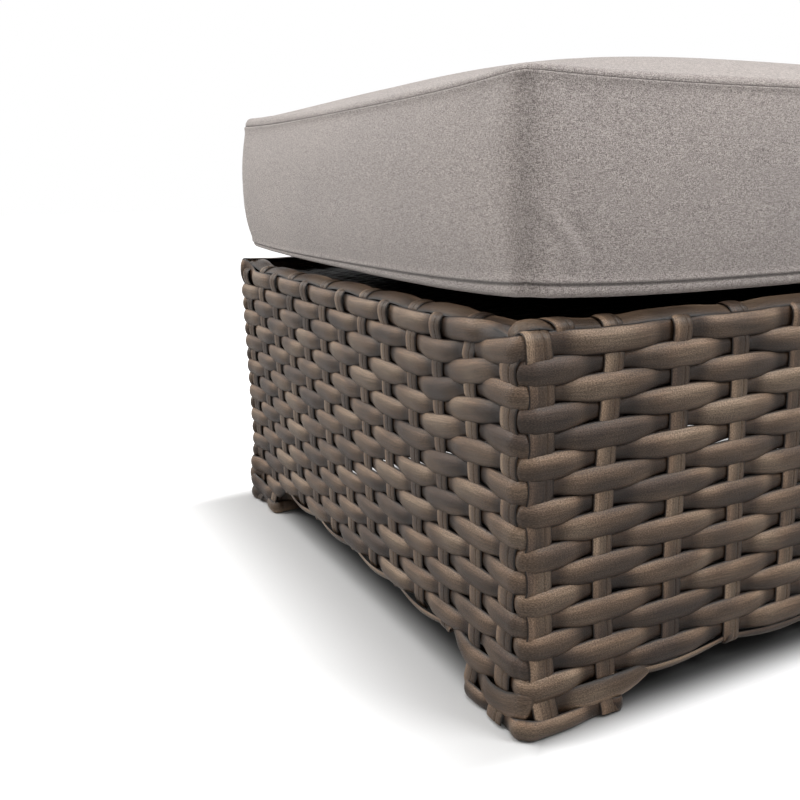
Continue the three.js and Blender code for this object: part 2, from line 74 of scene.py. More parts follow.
FRONT_STAKES = 11
SIDE_STAKES = 13
FRONT_FIRST_STAKE = 16.6
SIDE_FIRST_STAKE = 18.4
STAKE_WIDTH = 17
INNER_STAKE_DEPTH = 4.1
STAKE_TOP = 262
HEAD_SHIFT = 3.2
HEAD_SHIFT_FROM = 256
HEAD_SHIFT_RISE = 16
CORNER_STAKE_REACH = 25
CORNER_RADII = [16, 16, 8, 8]
FOOT_RADII = [10, 7, 7, 7]
ROW_COUNT = 15
FRONT_TOP_ROW = 270.9
FRONT_ROW_PITCH = 15.77
SIDE_TOP_ROW = 253.6
SIDE_ROW_PITCH = 14.87
SIDE_EXTRA_ROW = 270.2
TOP_ROW_WIDTH = 17.8
FOOT_ROW = 18.4
FOOT_LAST_ROW = 7.2
FOOT_LAST_WIDTH = 12.8
STRAND_WALL = 0.4
WEAVER_DEPTH = 4.8
WEAVER_DEPTH_SWING = 1.3
WEAVER_CROWN = 3.2
WEAVER_CROWN_SWING = 1.2
STAKE_EDGE_DEPTH = 4.45
STAKE_DEPTH_SWING = 1.25
SIDE_NAMES = ["front", "right", "back", "left"]
FRONT, RIGHT, BACK, LEFT = range(4)

# General helpers


def deselect_all():
    for o in bpy.context.selected_objects:
        o.select_set(False)


def make_active(piece):
    deselect_all()
    piece.select_set(True)
    bpy.context.view_layer.objects.active = piece


def mesh_object(name, vertices, faces, uvs=None):
    mesh = bpy.data.meshes.new(name)
    mesh.from_pydata([tuple(v) for v in vertices], [], [tuple(f) for f in faces])
    if uvs is not None:
        layer = mesh.uv_layers.new(name="strand")
        corner_vertex = np.empty(len(mesh.loops), dtype=np.int32)
        mesh.loops.foreach_get("vertex_index", corner_vertex)
        layer.data.foreach_set("uv", np.asarray(uvs, dtype=np.float32)[corner_vertex].ravel())
    mesh.validate()
    piece = bpy.data.objects.new(name, mesh)
    bpy.context.scene.collection.objects.link(piece)
    return piece


def keep_values(piece, name, values):
    """Keeps one number for each point of a piece, which its material reads."""
    kept = piece.data.attributes.new(name, "FLOAT", "POINT")
    kept.data.foreach_set("value", np.asarray(values, dtype=np.float32))


def smooth_by_angle(piece, degrees):
    make_active(piece)
    bpy.ops.object.shade_smooth_by_angle(angle=math.radians(degrees))


def smoothstep(x):
    x = np.clip(x, 0.0, 1.0)
    return x * x * (3 - 2 * x)


def bell(distance, reach):
    """1 at a place, falling off smoothly within about a reach of it."""
    return np.exp(-(distance / reach) ** 2)


def bump(distance, size):
    """A bell of a height and a reach."""
    height, reach = size
    return height * bell(distance, reach)


def fade(distance, reach):
    """1 up to a place, falling to 0 a reach beyond it."""
    return 1 - smoothstep(distance / reach)


def end_change(distance, size):
    """A height at an end, gone a reach away from it."""
    height, reach = size
    return height * fade(distance, reach)


# Plan of the body


class PlanLoop:
    """A rectangle with rounded corners, measured along its length from the middle of its first
    corner, anticlockwise seen from above. Lengths are in mm."""

    def __init__(self, low, high, radii):
        corner_places = [(low[0], low[1]), (high[0], low[1]), (high[0], high[1]), (low[0], high[1])]
        starts = [-1.0, -0.5, 0.0, 0.5]
        samples = []
        for (x, y), r, start in zip(corner_places, radii, starts):
            cx = x + (r if x == low[0] else -r)
            cy = y + (r if y == low[1] else -r)
            for i in range(25):
                angle = (start + 0.5 * i / 24) * math.pi
                samples.append((cx + r * math.cos(angle), cy + r * math.sin(angle), angle))
        samples = samples[12:] + samples[:13]
        self.place = np.array([(x, y) for x, y, _ in samples])
        angles = np.array([a for _, _, a in samples])
        self.angle = np.unwrap(angles)
        steps = np.hypot(*np.diff(self.place, axis=0).T)
        self.length_at = np.concatenate([[0], np.cumsum(steps)])
        self.total = self.length_at[-1]

    def at(self, s):
        s = np.mod(s, self.total)
        x = np.interp(s, self.length_at, self.place[:, 0])
        y = np.interp(s, self.length_at, self.place[:, 1])
        angle = np.interp(s, self.length_at, self.angle)
        return np.stack([x, y], -1), np.stack([np.cos(angle), np.sin(angle)], -1)

    def nearest(self, x, y):
        fine = np.linspace(0, self.total, 8000, endpoint=False)
        place, _ = self.at(fine)
        return float(fine[np.argmin((place[:, 0] - x) ** 2 + (place[:, 1] - y) ** 2)])


body_plan = PlanLoop((-HALF, -HALF), (HALF, HALF), CORNER_RADII)

# What half a corner's arc saves of its radius, measured along the plan
ARC_SAVING = 1 - math.pi / 4

# Lengths along the plan at the middle of each corner
corner_at = [0.0]
for here, there in zip(CORNER_RADII, CORNER_RADII[1:] + CORNER_RADII[:1]):
    corner_at.append(corner_at[-1] + 2 * HALF - (here + there) * ARC_SAVING)

# Where the stakes stand


def side_places(count, first):
    pitch = (2 * HALF - 2 * first) / (count - 1)
    return [first + pitch * j for j in range(count)]


front_places = side_places(FRONT_STAKES, FRONT_FIRST_STAKE)
flank_places = side_places(SIDE_STAKES, SIDE_FIRST_STAKE)

# (side, distance along the side from its first corner), anticlockwise from the front left corner
stakes = []
for side in range(4):
    for u in front_places if side % 2 == 0 else flank_places:
        stakes.append((side, u))
STAKE_TOTAL = len(stakes)


def stakes_on(side):
    return [i for i, (stake_side, _) in enumerate(stakes) if stake_side == side]


# How far the listed stakes near the seen corner lean and bow, mm, at the heights below
LEAN_HEIGHTS = [10, 40, 75, 113, 150, 190, 225, STAKE_TOP]
LEAN_TABLE = {
    0: [3.0, 1.4, -0.2, -0.8, -0.6, 1.4, 2.2, 1.6],
    1: [-1.2, -2.8, -5.6, -6.6, -6.2, -4.4, -1.4, 2.2],
    2: [-1.0, -0.6, -0.8, -1.2, -0.2, 0.6, 1.4, 1.6],
    3: [3.2, 3.0, 2.2, 1.2, 0.4, -0.2, -0.2, -0.6],
    47: [-14.0, -11.4, -7.0, -3.8, -0.6, 0.4, 0.6, 0.8],
    46: [-6.4, -5.0, -1.2, 0.6, 1.0, -0.4, -2.4, -4.6],
    45: [-3.4, -3.4, -2.8, -1.6, -1.2, -2.6, -3.6, -3.8],
}


def lean_of(index):
    if index in LEAN_TABLE:
        return LEAN_TABLE[index]
    drift, bow = random.uniform(-1.6, 1.6), random.uniform(-1.8, 1.8)
    shares = [z / STAKE_TOP for z in LEAN_HEIGHTS]
    return [drift * (share - 0.5) + bow * math.sin(math.pi * share) for share in shares]


stake_leans = [lean_of(i) for i in range(STAKE_TOTAL)]


def stake_side_place(index, z):
    """Distance of a stake along its side at a height."""
    return stakes[index][1] + np.interp(z, LEAN_HEIGHTS, stake_leans[index])


def side_point(side, u, depth):
    """A point on a side of the body, and the side's outward direction."""
    along = [(1, 0), (0, 1), (-1, 0), (0, -1)][side]
    out = [(0, -1), (1, 0), (0, 1), (-1, 0)][side]
    x = along[0] * (u - HALF) + out[0] * (HALF - depth)
    y = along[1] * (u - HALF) + out[1] * (HALF - depth)
    return x, y, out


def loop_place(index, z):
    """Length along the body's plan at which a stake stands."""
    side, _ = stakes[index]
    return corner_at[side] + stake_side_place(index, z) - CORNER_RADII[side] * ARC_SAVING


# Strands

# Places across a strand's front face, from edge to edge, and how square and how full its crown is
FRONT_FACES = {
    "weaver": [-1, -0.985, -0.94, -0.86, -0.72, -0.5, -0.2, 0.12, 0.42, 0.68, 0.85, 0.94, 0.985, 1],
    "stake": [-1, -0.97, -0.88, -0.72, -0.5, -0.4, -0.33, -0.26, -0.1, 0.2, 0.5, 0.74, 0.89, 0.97, 1],
    "thin": [-1, -0.85, -0.5, 0, 0.5, 0.85, 1],
}
CROWN_POWERS = {"weaver": (2, 0.68), "stake": (2.8, 0.55), "thin": (2.2, 1)}
BACK_FACE = [0.84, 0.45, 0, -0.45, -0.84]
BACK_FULLNESS = 0.9
GROOVE_PLACE = 6
GROOVE_DEPTH = 0.38
TUCKED_FROM = 0.35
TUCKED_RANGE = 1.2
LONGEST_SHIFT = 900


def strand_profile(kind):
    """Points round a strand's section: place across from -1 to 1, height of its crown from 0 to 1,
    and 0 for the front face or 1 for the back."""
    square, full = CROWN_POWERS[kind]
    crown = [(1 - abs(q) ** square) ** full for q in FRONT_FACES[kind]]
    if kind == "stake":
        crown[GROOVE_PLACE] -= GROOVE_DEPTH
    front = [(q, c, 0) for q, c in zip(FRONT_FACES[kind], crown)]
    return front + [(q, BACK_FULLNESS * (1 - q * q), 1) for q in BACK_FACE]


class StrandMesh:
    """Collects strands swept along paths into one mesh, with a UV across and along each strand and
    how far each point is tucked in behind its neighbours, from 0 to 1, which the material darkens
    as painted shade."""

    def __init__(self):
        self.vertices, self.faces, self.uvs, self.tucked = [], [], [], []
        self.count = 0

    def sweep(self, points, normals, widths, crowns, wall=STRAND_WALL, kind="weaver", closed=False,
              wave=1.0):
        points = np.asarray(points, float)
        normals = np.asarray(normals, float)
        total = len(points)
        widths, crowns, wave = [np.broadcast_to(np.asarray(a, float), (total,))
                                for a in (widths, crowns, wave)]
        if closed:  # the ends meet at the back, behind a stake
            first = int(np.argmax(points[:, 1] - 1000 * (wave > -0.9)))
            points, normals = np.roll(points, -first, 0), np.roll(normals, -first, 0)
            widths, crowns, wave = [np.roll(a, -first) for a in (widths, crowns, wave)]
        normals = normals / np.linalg.norm(normals, axis=1)[:, None]
        if closed:
            tangents = np.roll(points, -1, 0) - np.roll(points, 1, 0)
        else:
            tangents = np.gradient(points, axis=0)
        tangents /= np.linalg.norm(tangents, axis=1)[:, None]
        across = np.cross(normals, tangents)
        across /= np.linalg.norm(across, axis=1)[:, None]
        normals = np.cross(tangents, across)
        profile = strand_profile(kind)
        ring = len(profile)
        q = np.array([p[0] for p in profile])
        c = np.array([p[1] for p in profile])
        back = np.array([p[2] for p in profile])
        side = across[:, None, :] * (q[None, :, None] * widths[:, None, None] / 2)
        height = c[None, :] * crowns[:, None] - back[None, :] * wall
        rise = normals[:, None, :] * height[:, :, None]
        grid = points[:, None, :] + side + rise
        steps = np.linalg.norm(np.diff(points, axis=0), axis=1)
        length = np.concatenate([[0], np.cumsum(steps)])
        shift = random.uniform(0, LONGEST_SHIFT)
        self.tucked.append(np.repeat(smoothstep((TUCKED_FROM - wave) / TUCKED_RANGE), ring))
        u = np.broadcast_to((q + 1) / 2, (total, ring))
        v = np.broadcast_to(((length + shift * 10) * MM)[:, None], (total, ring))
        start = self.count
        self.vertices.append(grid.reshape(-1, 3) * MM)
        self.uvs.append(np.stack([u, v], -1).reshape(-1, 2))
        rows = total if closed else total - 1
        for i in range(rows):
            a, b = start + i * ring, start + ((i + 1) % total) * ring
            for j in range(ring):
                k = (j + 1) % ring
                self.faces.append((a + j, a + k, b + k, b + j))
        if not closed:
            self.faces.append(tuple(start + j for j in reversed(range(ring))))
            last = start + (total - 1) * ring
            self.faces.append(tuple(last + j for j in range(ring)))
        self.count += total * ring

    def build(self, name, material, stands_for):
        vertices = np.concatenate(self.vertices)
        piece = mesh_object(name, vertices, self.faces, np.concatenate(self.uvs))
        keep_values(piece, "tucked", np.concatenate(self.tucked))
        face_outwards(piece)
        smooth_by_angle(piece, 50)
        piece.data.materials.append(material)
        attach(piece, "base")
        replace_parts(piece, *stands_for)


def face_outwards(piece):
    make_active(piece)
    bpy.ops.object.mode_set(mode="EDIT")
    bpy.ops.mesh.select_all(action="SELECT")
    bpy.ops.mesh.normals_make_consistent(inside=False)
    bpy.ops.object.mode_set(mode="OBJECT")


def curve_through(points, step):
    """Catmull-Rom curve through control rows, resampled evenly."""
    points = np.asarray(points, float)
    padded = np.vstack([2 * points[0] - points[1], points, 2 * points[-1] - points[-2]])
    dense = []
    for i in range(1, len(padded) - 2):
        p0, p1, p2, p3 = padded[i - 1 : i + 3]
        for t in np.linspace(0, 1, 16, endpoint=False):
            dense.append(0.5 * (2 * p1 + (p2 - p0) * t + (2 * p0 - 5 * p1 + 4 * p2 - p3) * t * t
                                + (3 * p1 - p0 - 3 * p2 + p3) * t ** 3))
    dense.append(points[-1])
    dense = np.array(dense)
    steps = np.linalg.norm(np.diff(dense[:, :3], axis=0), axis=1)
    length = np.concatenate([[0], np.cumsum(steps)])
    count = max(4, int(length[-1] / step) + 1)
    even = np.linspace(0, length[-1], count)
    return np.stack([np.interp(even, length, dense[:, k]) for k in range(dense.shape[1])], -1)


def over_under(s, places, signs):
    """1 where a strand passes outside a stake, -1 where it passes inside, and a wave between that
    stays out long and dives close to the next stake."""
    places = np.asarray(places, float)
    signs = np.asarray(signs, float)
    i = np.clip(np.searchsorted(places, s) - 1, 0, len(places) - 2)
    t = np.clip((s - places[i]) / (places[i + 1] - places[i]), 0, 1)
    diving = signs[i] >= signs[i + 1]
    from_outer = np.where(diving, t, 1 - t)
    outer = (1 + np.sin(np.pi / 2 * np.cos(np.pi * from_outer ** 1.2))) / 2
    half = np.where(diving, outer, 1 - outer)
    return signs[i] * half + signs[i + 1] * (1 - half)


def ring_wave(s, places, signs, total):
    """The wave of a closed strand round all the stakes on its way."""
    return over_under(s, [places[-1] - total, *places, places[0] + total], [signs[-1], *signs, signs[0]])


PULLED_TIGHT = 0.88
TIGHT_REACH = 5


def pushed_out(wave, s, corners, shifts):
    """Every strand is pulled tight over the corner posts."""
    for corner, shift in zip(corners, shifts):
        wave = wave + (1 - wave) * PULLED_TIGHT * bell(s - corner - shift, TIGHT_REACH)
    return wave


SWELL_REACH = 15
BODY_SWELL = 2.1
FOOT_SWELL = 7
FOOT_SWELL_HEIGHT = 30
FOOT_SWELL_REACH = 25


def back_corner_swell(s, z):
    """How far the weave stands out round the two back corners, most of all at the feet, mm."""
    near = sum(bell(s - corner, SWELL_REACH) for corner in corner_at[2:4])
    return near * (BODY_SWELL + FOOT_SWELL * bell(z - FOOT_SWELL_HEIGHT, FOOT_SWELL_REACH))


def weave_depth(wave):
    """Depth of a weaver's edges inside the body's outer face, mm."""
    return WEAVER_DEPTH - WEAVER_DEPTH_SWING * wave


FRONT_SWING = 4.0
SIDE_SWING = 3.1


def weave_width(wave, pitch, swing=FRONT_SWING):
    """Width of a weaver, which lies flat and wide outside and edges together inside, mm."""
    return pitch + 0.3 + swing * (0.45 * wave + 0.55 * wave ** 3)


def weave_crown(wave):
    """How far a weaver's middle stands out from its edges, mm."""
    return WEAVER_CROWN + WEAVER_CROWN_SWING * wave


def weave_drop(wave):
    """How far a weaver sinks where it passes outside a stake, mm."""
    return 0.5 * np.maximum(wave, 0) ** 2


def along_plan(place, out, depth, z, lean=0.0):
    """Points at a depth inside a plan's line and at a height, and their outward normals."""
    z = np.broadcast_to(z, len(place))
    points = np.column_stack([place - out * np.reshape(depth, (-1, 1)), z])
    return points, np.column_stack([out, np.broadcast_to(lean, len(place))])


def front_level(row):
    return FRONT_TOP_ROW - FRONT_ROW_PITCH * (row - 1)


def side_level(row):
    return SIDE_TOP_ROW - SIDE_ROW_PITCH * (row - 1)


# Distances behind the front between which a row drops, mm; the top rows start sooner
DROP_STARTS = [-20, 2]
DROP_FROM = 20
DROP_FROM_STEP = 3.5
DROP_TO = 126
DROP_TO_STEP = 8


def row_heights(row, s):
    """Height of a closed row along the body: the flanks and back have one row more than the front,
    so each row drops by about one row on the flanks behind the front corners."""
    place, _ = body_plan.at(s)
    from_front = place[:, 1] + HALF
    start = DROP_STARTS[row - 1] if row <= len(DROP_STARTS) else DROP_FROM + DROP_FROM_STEP * (row - 1)
    end = DROP_TO + DROP_TO_STEP * (row - 1)
    drop = smoothstep((from_front - start) / (end - start)) * smoothstep(from_front / 14)
    sway = 0.35 * np.sin(s / 61 + row * 2.1) + 0.3 * np.sin(s / 143 + row * 4.7)
    return front_level(row) + (side_level(row) - front_level(row)) * drop + sway


def row_sign(index, row):
    """Whether a row passes outside a stake (1) or inside it (-1)."""
    return 1 if (index + row) % 2 == 0 else -1


FINE_STEP = 1.7
COARSE_STEP = 4.4
FINE_REACH = 17


def row_places():
    """Lengths along the plan for the rows' cross-sections, close together round the corners."""
    spots = [0.0]
    while spots[-1] < body_plan.total:
        near = min(abs(spots[-1] - corner) for corner in corner_at)
        spots.append(spots[-1] + (FINE_STEP if near < FINE_REACH else COARSE_STEP))
    spots = np.array(spots)
    return spots[:-1] * body_plan.total / spots[-1]


def smoothed(values, reach):
    """Running mean round a closed loop."""
    wrapped = np.concatenate([values[-reach:], values, values[:reach]])
    return np.convolve(wrapped, np.ones(2 * reach + 1) / (2 * reach + 1), "valid")


row_spots = row_places()
CORNER_SHIFTS = [0.4, -0.4, 0, 0, 0.4]


def lay_row(mesh, row):
    """One closed ring of the weave."""
    s = row_spots
    z = row_heights(row, s)
    places = []
    for i in range(STAKE_TOTAL):
        rough = loop_place(i, front_level(row))
        places.append(loop_place(i, row_heights(row, np.array([rough]))[0]))
    signs = [row_sign(i, row) for i in range(STAKE_TOTAL)]
    wave = pushed_out(ring_wave(s, places, signs, body_plan.total), s, corner_at, CORNER_SHIFTS)
    place, out = body_plan.at(s)
    on_front = place[:, 1] < 1 - HALF
    pitch = smoothed(np.where(on_front, FRONT_ROW_PITCH, SIDE_ROW_PITCH + 0.5), 12)
    width = weave_width(wave, pitch, smoothed(np.where(on_front, FRONT_SWING, SIDE_SWING), 12))
    if row == 1:
        width = smoothed(np.where(on_front, TOP_ROW_WIDTH + 0.5 * wave, width), 6)
    depth = weave_depth(wave) - back_corner_swell(s, z)
    points, normals = along_plan(place, out, depth, z - weave_drop(wave))
    mesh.sweep(points, normals, width, weave_crown(wave), closed=True, wave=wave)


# Materials


def linear_colour(hex_value):
    """sRGB hex to a linear colour."""
    channels = [((hex_value >> shift) & 255) / 255 for shift in (16, 8, 0)]
    return tuple(c / 12.92 if c <= 0.04045 else ((c + 0.055) / 1.055) ** 2.4 for c in channels) + (1.0,)


def add_node(material, kind, settings=None, **inputs):
    """Adds a shader node, sets its properties and input values, and links inputs given as sockets."""
    node = material.node_tree.nodes.new(kind)
    for key, value in (settings or {}).items():
        setattr(node, key, value)
    for key, value in inputs.items():
        name = key.replace("_", " ")
        socket = node.inputs[int(name[1:])] if name[0] == "i" and name[1:].isdigit() else node.inputs[name]
        if isinstance(value, bpy.types.NodeSocket):
            material.node_tree.links.new(value, socket)
        else:
            socket.default_value = value
    return node


def new_material(name, roughness, metallic=0.0):
    material = bpy.data.materials.new(name)
    material.use_nodes = True
    shader = material.node_tree.nodes["Principled BSDF"]
    shader.inputs["Roughness"].default_value = roughness
    shader.inputs["Metallic"].default_value = metallic
    shader.inputs["IOR"].default_value = 1.5
    return material, shader


def link(material, output, socket):
    material.node_tree.links.new(output, socket)


def object_places(material):
    return add_node(material, "ShaderNodeTexCoord").outputs["Object"]


def kept_values(material, name):
    """The numbers that keep_values left on the points."""
    return add_node(material, "ShaderNodeAttribute", {"attribute_name": name}).outputs["Fac"]


def noise(material, where, scale, detail=2.0, roughness=0.5, stretch=None, dimensions="3D"):
    """Noise, over places that may be stretched along each axis first."""
    if stretch:
        where = add_node(material, "ShaderNodeMapping", Vector=where, Scale=stretch).outputs[0]
    return add_node(material, "ShaderNodeTexNoise", {"noise_dimensions": dimensions}, Vector=where,
                    Scale=scale, Detail=detail, Roughness=roughness).outputs[0]


def ramp(material, factor, stops):
    """A colour ramp, whose colours are hex values or multipliers of red, green and blue."""
    node = add_node(material, "ShaderNodeValToRGB", Fac=factor)
    elements = node.color_ramp.elements
    for i, (place, colour) in enumerate(stops):
        element = elements[i] if i < 2 else elements.new(place)
        element.position = place
        element.color = linear_colour(colour) if isinstance(colour, int) else (*colour, 1)
    return node.outputs["Color"]


def mixed(material, share, first, second):
    """A mix of two numbers."""
    return add_node(material, "ShaderNodeMix", {"data_type": "FLOAT"}, i0=share, i2=first,
                    i3=second).outputs[0]


def mixed_colour(material, share, first, second, blend="MIX"):
    return add_node(material, "ShaderNodeMix", {"data_type": "RGBA", "blend_type": blend}, i0=share,
                    i6=first, i7=second).outputs[2]


def multiplied(material, first, second):
    return mixed_colour(material, 1.0, first, second, "MULTIPLY")


def mapped(material, value, low, high, to_low, to_high, interpolation="SMOOTHSTEP"):
    return add_node(material, "ShaderNodeMapRange", {"interpolation_type": interpolation}, Value=value,
                    From_Min=low, From_Max=high, To_Min=to_low, To_Max=to_high).outputs[0]


def calculated(material, operation, first, second=0.0):
    return add_node(material, "ShaderNodeMath", {"operation": operation}, i0=first, i1=second).outputs[0]


def dress(material, shader, colour, height=None, strength=0.0, distance=0.0):
    """Gives a shader its colour and, from a height, its fine relief."""
    link(material, colour, shader.inputs["Base Color"])
    if height is not None:
        bump = add_node(material, "ShaderNodeBump", Height=height, Strength=strength, Distance=distance)
        link(material, bump.outputs[0], shader.inputs["Normal"])
    return material


def resin_strand_material(name="extruded_polyethylene_strand", shade=1.0):
    """Extruded all-weather polyethylene strand: colour streaked along its length by the extruder,
    in driftwood browns with slate patches, a satin skin with a fine pitted grain. With a shade
    below 1 it is the deck's: its colour darkened by that factor as painted shade for the deep
    shadow under the cushion, and worn matt."""
    material, shader = new_material(name, 0.45)
    uv = add_node(material, "ShaderNodeTexCoord").outputs["UV"]
    # Patches about 80 mm long
    patches = noise(material, uv, 1.0, 1.5, 0.5, (0.6, 12.0, 1.0), "2D")
    colour = ramp(material, patches, [(0.32, 0x362B24), (0.43, 0x43362C), (0.53, 0x554538), (0.72, 0x665749)])
    # Pits 0.6 mm wide and 1.2 mm long, and drawn lines 1.4 mm wide and 25 mm long
    pits = noise(material, uv, 1.0, 2.0, 0.6, (30.0, 800.0, 1.0), "2D")
    drawn_lines = noise(material, uv, 1.0, 2.0, 0.6, (13.0, 40.0, 1.0), "2D")
    grain = mixed(material, 0.3, pits, drawn_lines)
    speckle = ramp(material, grain, [(0.36, (0.58, 0.55, 0.51)), (0.50, (1.0, 0.99, 0.97)),
                                     (0.66, (1.7, 1.7, 1.7))])
    # Painted shade in the creases along both edges of each strand and over its lower half, and painted light
    # on its upper half, brightest near the top edge
    across = add_node(material, "ShaderNodeSeparateXYZ", Vector=uv).outputs["X"]
    edges = ramp(material, across, [(0.035, (0.10, 0.08, 0.06)), (0.98, (0.15, 0.12, 0.10)),
                                    (0.07, (0.60, 0.58, 0.56)), (0.16, (0.86, 0.85, 0.84)),
                                    (0.45, (0.88, 0.88, 0.87)), (0.66, (1.2, 1.2, 1.19)),
                                    (0.82, (2.15, 2.15, 2.14)), (0.94, (2.1, 2.1, 2.08))])
    # Painted shade where a strand runs in behind its neighbours
    tucked = kept_values(material, "tucked")
    tuck_shade = ramp(material, tucked, [(0.0, (1, 1, 1)), (0.9, (0.30, 0.25, 0.21))])
    for factor in (speckle, edges, tuck_shade):
        colour = multiplied(material, colour, factor)
    shader.inputs["Specular IOR Level"].default_value = 0.3
    # Below 1 the colour is multiplied down as painted shade, standing in for the shadow under the cushion
    if shade < 1:
        shader.inputs["Specular IOR Level"].default_value = 0.08
        colour = multiplied(material, colour, (shade, shade, shade, 1))
    gloss = mapped(material, grain, 0.35, 0.65, 0.28, 0.46, "LINEAR")
    link(material, gloss, shader.inputs["Roughness"])
    return dress(material, shader, colour, grain, 0.8, 0.0005)


def outdoor_fabric_material():
    """Solution-dyed acrylic cloth, plain woven from heathered yarn: matt, with fine darker and
    lighter threads running both ways and a soft fuzz at grazing angles."""
    material, shader = new_material("plain_woven_acrylic", 0.95)
    where = object_places(material)
    # Yarns are about 0.5 mm apart and each shade lasts about 3 mm along a yarn
    flat = noise(material, where, 1.0, 1.0, 0.6, (330, 330, 2000))
    upright = noise(material, where, 1.0, 1.0, 0.6, (2000, 2000, 420))
    threads = mixed(material, 0.4, flat, upright)
    heather = mixed(material, 0.5, threads, noise(material, where, 2100.0, 0.0, 0.6))
    colour = ramp(material, heather, [(0.38, 0x6E6663), (0.50, 0x9F9692), (0.62, 0xCAC1BB)])
    cloud = noise(material, where, 9.0)
    colour = multiplied(material, colour, ramp(material, cloud, [(0.3, (0.95, 0.95, 0.955)),
                                                                 (0.7, (1.03, 1.025, 1.02))]))
    # Painted shade along the stitch line, where the seam's recess lies in shadow
    from_seam = calculated(material, "ABSOLUTE", kept_values(material, "from_seam"))
    shade = mapped(material, from_seam, 0.15, 0.65, 0.7, 0.0)
    colour = mixed_colour(material, shade, colour, linear_colour(0x2A2624))
    shader.inputs["Sheen Weight"].default_value = 0.3
    shader.inputs["Sheen Roughness"].default_value = 0.5
    shader.inputs["Specular IOR Level"].default_value = 0.2
    return dress(material, shader, colour, heather, 0.4, 0.0003)


def powder_coat_material():
    """Powder-coated aluminium tube: dark brown, satin, with the fine orange peel of a baked coat."""
    material, shader = new_material("powder_coated_aluminium", 0.45)
    peel = noise(material, object_places(material), 700.0)
    colour = ramp(material, peel, [(0.3, 0x352E29), (0.7, 0x433A34)])
    return dress(material, shader, colour, peel, 0.25, 0.0002)


def moulded_plastic_material():
    """Moulded polyethylene glide: black, with the mould's fine grain and a few dusty scuffs."""
    material, shader = new_material("moulded_polyethylene", 0.6)
    scuff = noise(material, object_places(material), 180.0, 6.0, 0.7)
    colour = ramp(material, scuff, [(0.4, 0x1B1A19), (0.75, 0x3A3836)])
    return dress(material, shader, colour, scuff, 0.2, 0.0002)


def zip_tape_material():
    """Woven polyester zip tape: matt, with a fine rib along its length."""
    material, shader = new_material("woven_polyester_tape", 0.85)
    where = object_places(material)
    rib = add_node(material, "ShaderNodeTexWave", {"bands_direction": "Z"}, Vector=where, Scale=320.0,
                   Distortion=0.6, Detail=2.0).outputs["Fac"]
    colour = ramp(material, rib, [(0.2, 0x746C66), (0.8, 0x958C85)])
    return dress(material, shader, colour, rib, 0.4, 0.0002)


def enamelled_zinc_material():
    """Die-cast zinc with a grey baked enamel: satin, with tiny casting ripples in its tone."""
    material, shader = new_material("enamelled_zinc", 0.35, metallic=0.75)
    ripple = noise(material, object_places(material), 500.0, 3.0)
    return dress(material, shader, ramp(material, ripple, [(0.35, 0x6B6560), (0.7, 0x8A837C)]))


strand_resin = resin_strand_material()
# The deck's colour is darkened to 6% as painted shade for the shadow under the cushion
deck_resin = resin_strand_material("extruded_polyethylene_deck_in_painted_shade", 0.06)
fabric = outdoor_fabric_material()
powder_coat = powder_coat_material()
glide_plastic = moulded_plastic_material()
tape_cloth = zip_tape_material()
zip_zinc = enamelled_zinc_material()

# The frame's own nodes

KEPT = {
    powder_coat: ("leg_", "top_rail_", "bottom_rail_", "deck_bearer_", "foot_loop_"),
    glide_plastic: ("glide_",),
    zip_zinc: ("zip_slider", "zip_pull"),
}
for material, beginnings in KEPT.items():
    for name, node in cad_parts.items():
        if name.startswith(beginnings):
            node.data.materials.clear()
            node.data.materials.append(material)

SKIN_NODES = [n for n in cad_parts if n.startswith(("weave_", "corner_weave_"))]

# Closed rows of the weave

ROWS_PER_PIECE = 5

for first in range(1, ROW_COUNT + 1, ROWS_PER_PIECE):
    last = first + ROWS_PER_PIECE - 1
    rows = StrandMesh()
    for row in range(first, last + 1):
        lay_row(rows, row)
    rows.build(f"weave_rows_{first}_to_{last}", strand_resin, SKIN_NODES)

# The lowest rows and the feet

CORNERS = {
    "front_left": (-1, -1),
    "front_right": (1, -1),
    "back_right": (1, 1),
    "back_left": (-1, 1),
}
INNER_STAKE_SHARE = 0.52
SHOULDER_TAIL = 50.0
LAST_ROW_DIPS = {FRONT: 3.6, BACK: 0.6}
LAST_ROW_TUCK = 5.9
INNER_STRAND_RISE = 13.5
INNER_STRAND_WIDTH = 13
# Heights or widths and their reach along the strand, mm
FOOT_FLARE = (5.6, 32)
RING_INNER_CORNER = (4.5, 9)
RING_CORNER_WIDER = (2.4, 11)
SHOULDER_CORNER_RISE = (4.6, 13)
SHOULDER_CORNER_WIDER = (3.2, 10)
SHOULDER_DIP = (3.0, 18)
SHOULDER_DIP_PLACE = -38
LAST_ROW_REACH = 104.0
foot_plan = PlanLoop((-HALF, -HALF), (FOOT_FRONT - HALF, FOOT_SIDE - HALF), FOOT_RADII)
inner_front = foot_plan.nearest(FOOT_FRONT - HALF, INNER_STAKE_SHARE * FOOT_SIDE - HALF)
inner_back = foot_plan.nearest(INNER_STAKE_SHARE * FOOT_FRONT - HALF, FOOT_SIDE - HALF)


def at_corner(corner, points, normals):
    """Points and normals made for the front left corner, moved to another corner."""
    flip = np.array([-corner[0], -corner[1], 1])
    return points * flip, normals * flip


def foot_stakes(z):
    """Places of the six stakes round a foot, anticlockwise from the first on the front."""
    front = [foot_plan.nearest(stake_side_place(i, z) - HALF, -HALF) for i in (0, 1)]
    last_two = (STAKE_TOTAL - 2, STAKE_TOTAL - 1)
    flank = [foot_plan.nearest(-HALF, HALF - stake_side_place(i, z)) for i in last_two]
    return front + [inner_front, inner_back] + flank


def foot_flare(z):
    """How far the foot's weave swells out over the frame's foot at a height, mm."""
    return end_change(z, FOOT_FLARE)


def foot_depth(corner, wave, s, z, out):
    """Depth of a strand round a foot: its outer faces flare, and the back feet swell as the rows do."""
    outer = np.clip(np.maximum(-out[:, 0], -out[:, 1]), 0, 1)
    swell = back_corner_swell(s + corner_at[2], z) * (corner[1] > 0)
    return weave_depth(wave) - foot_flare(z) * outer - swell


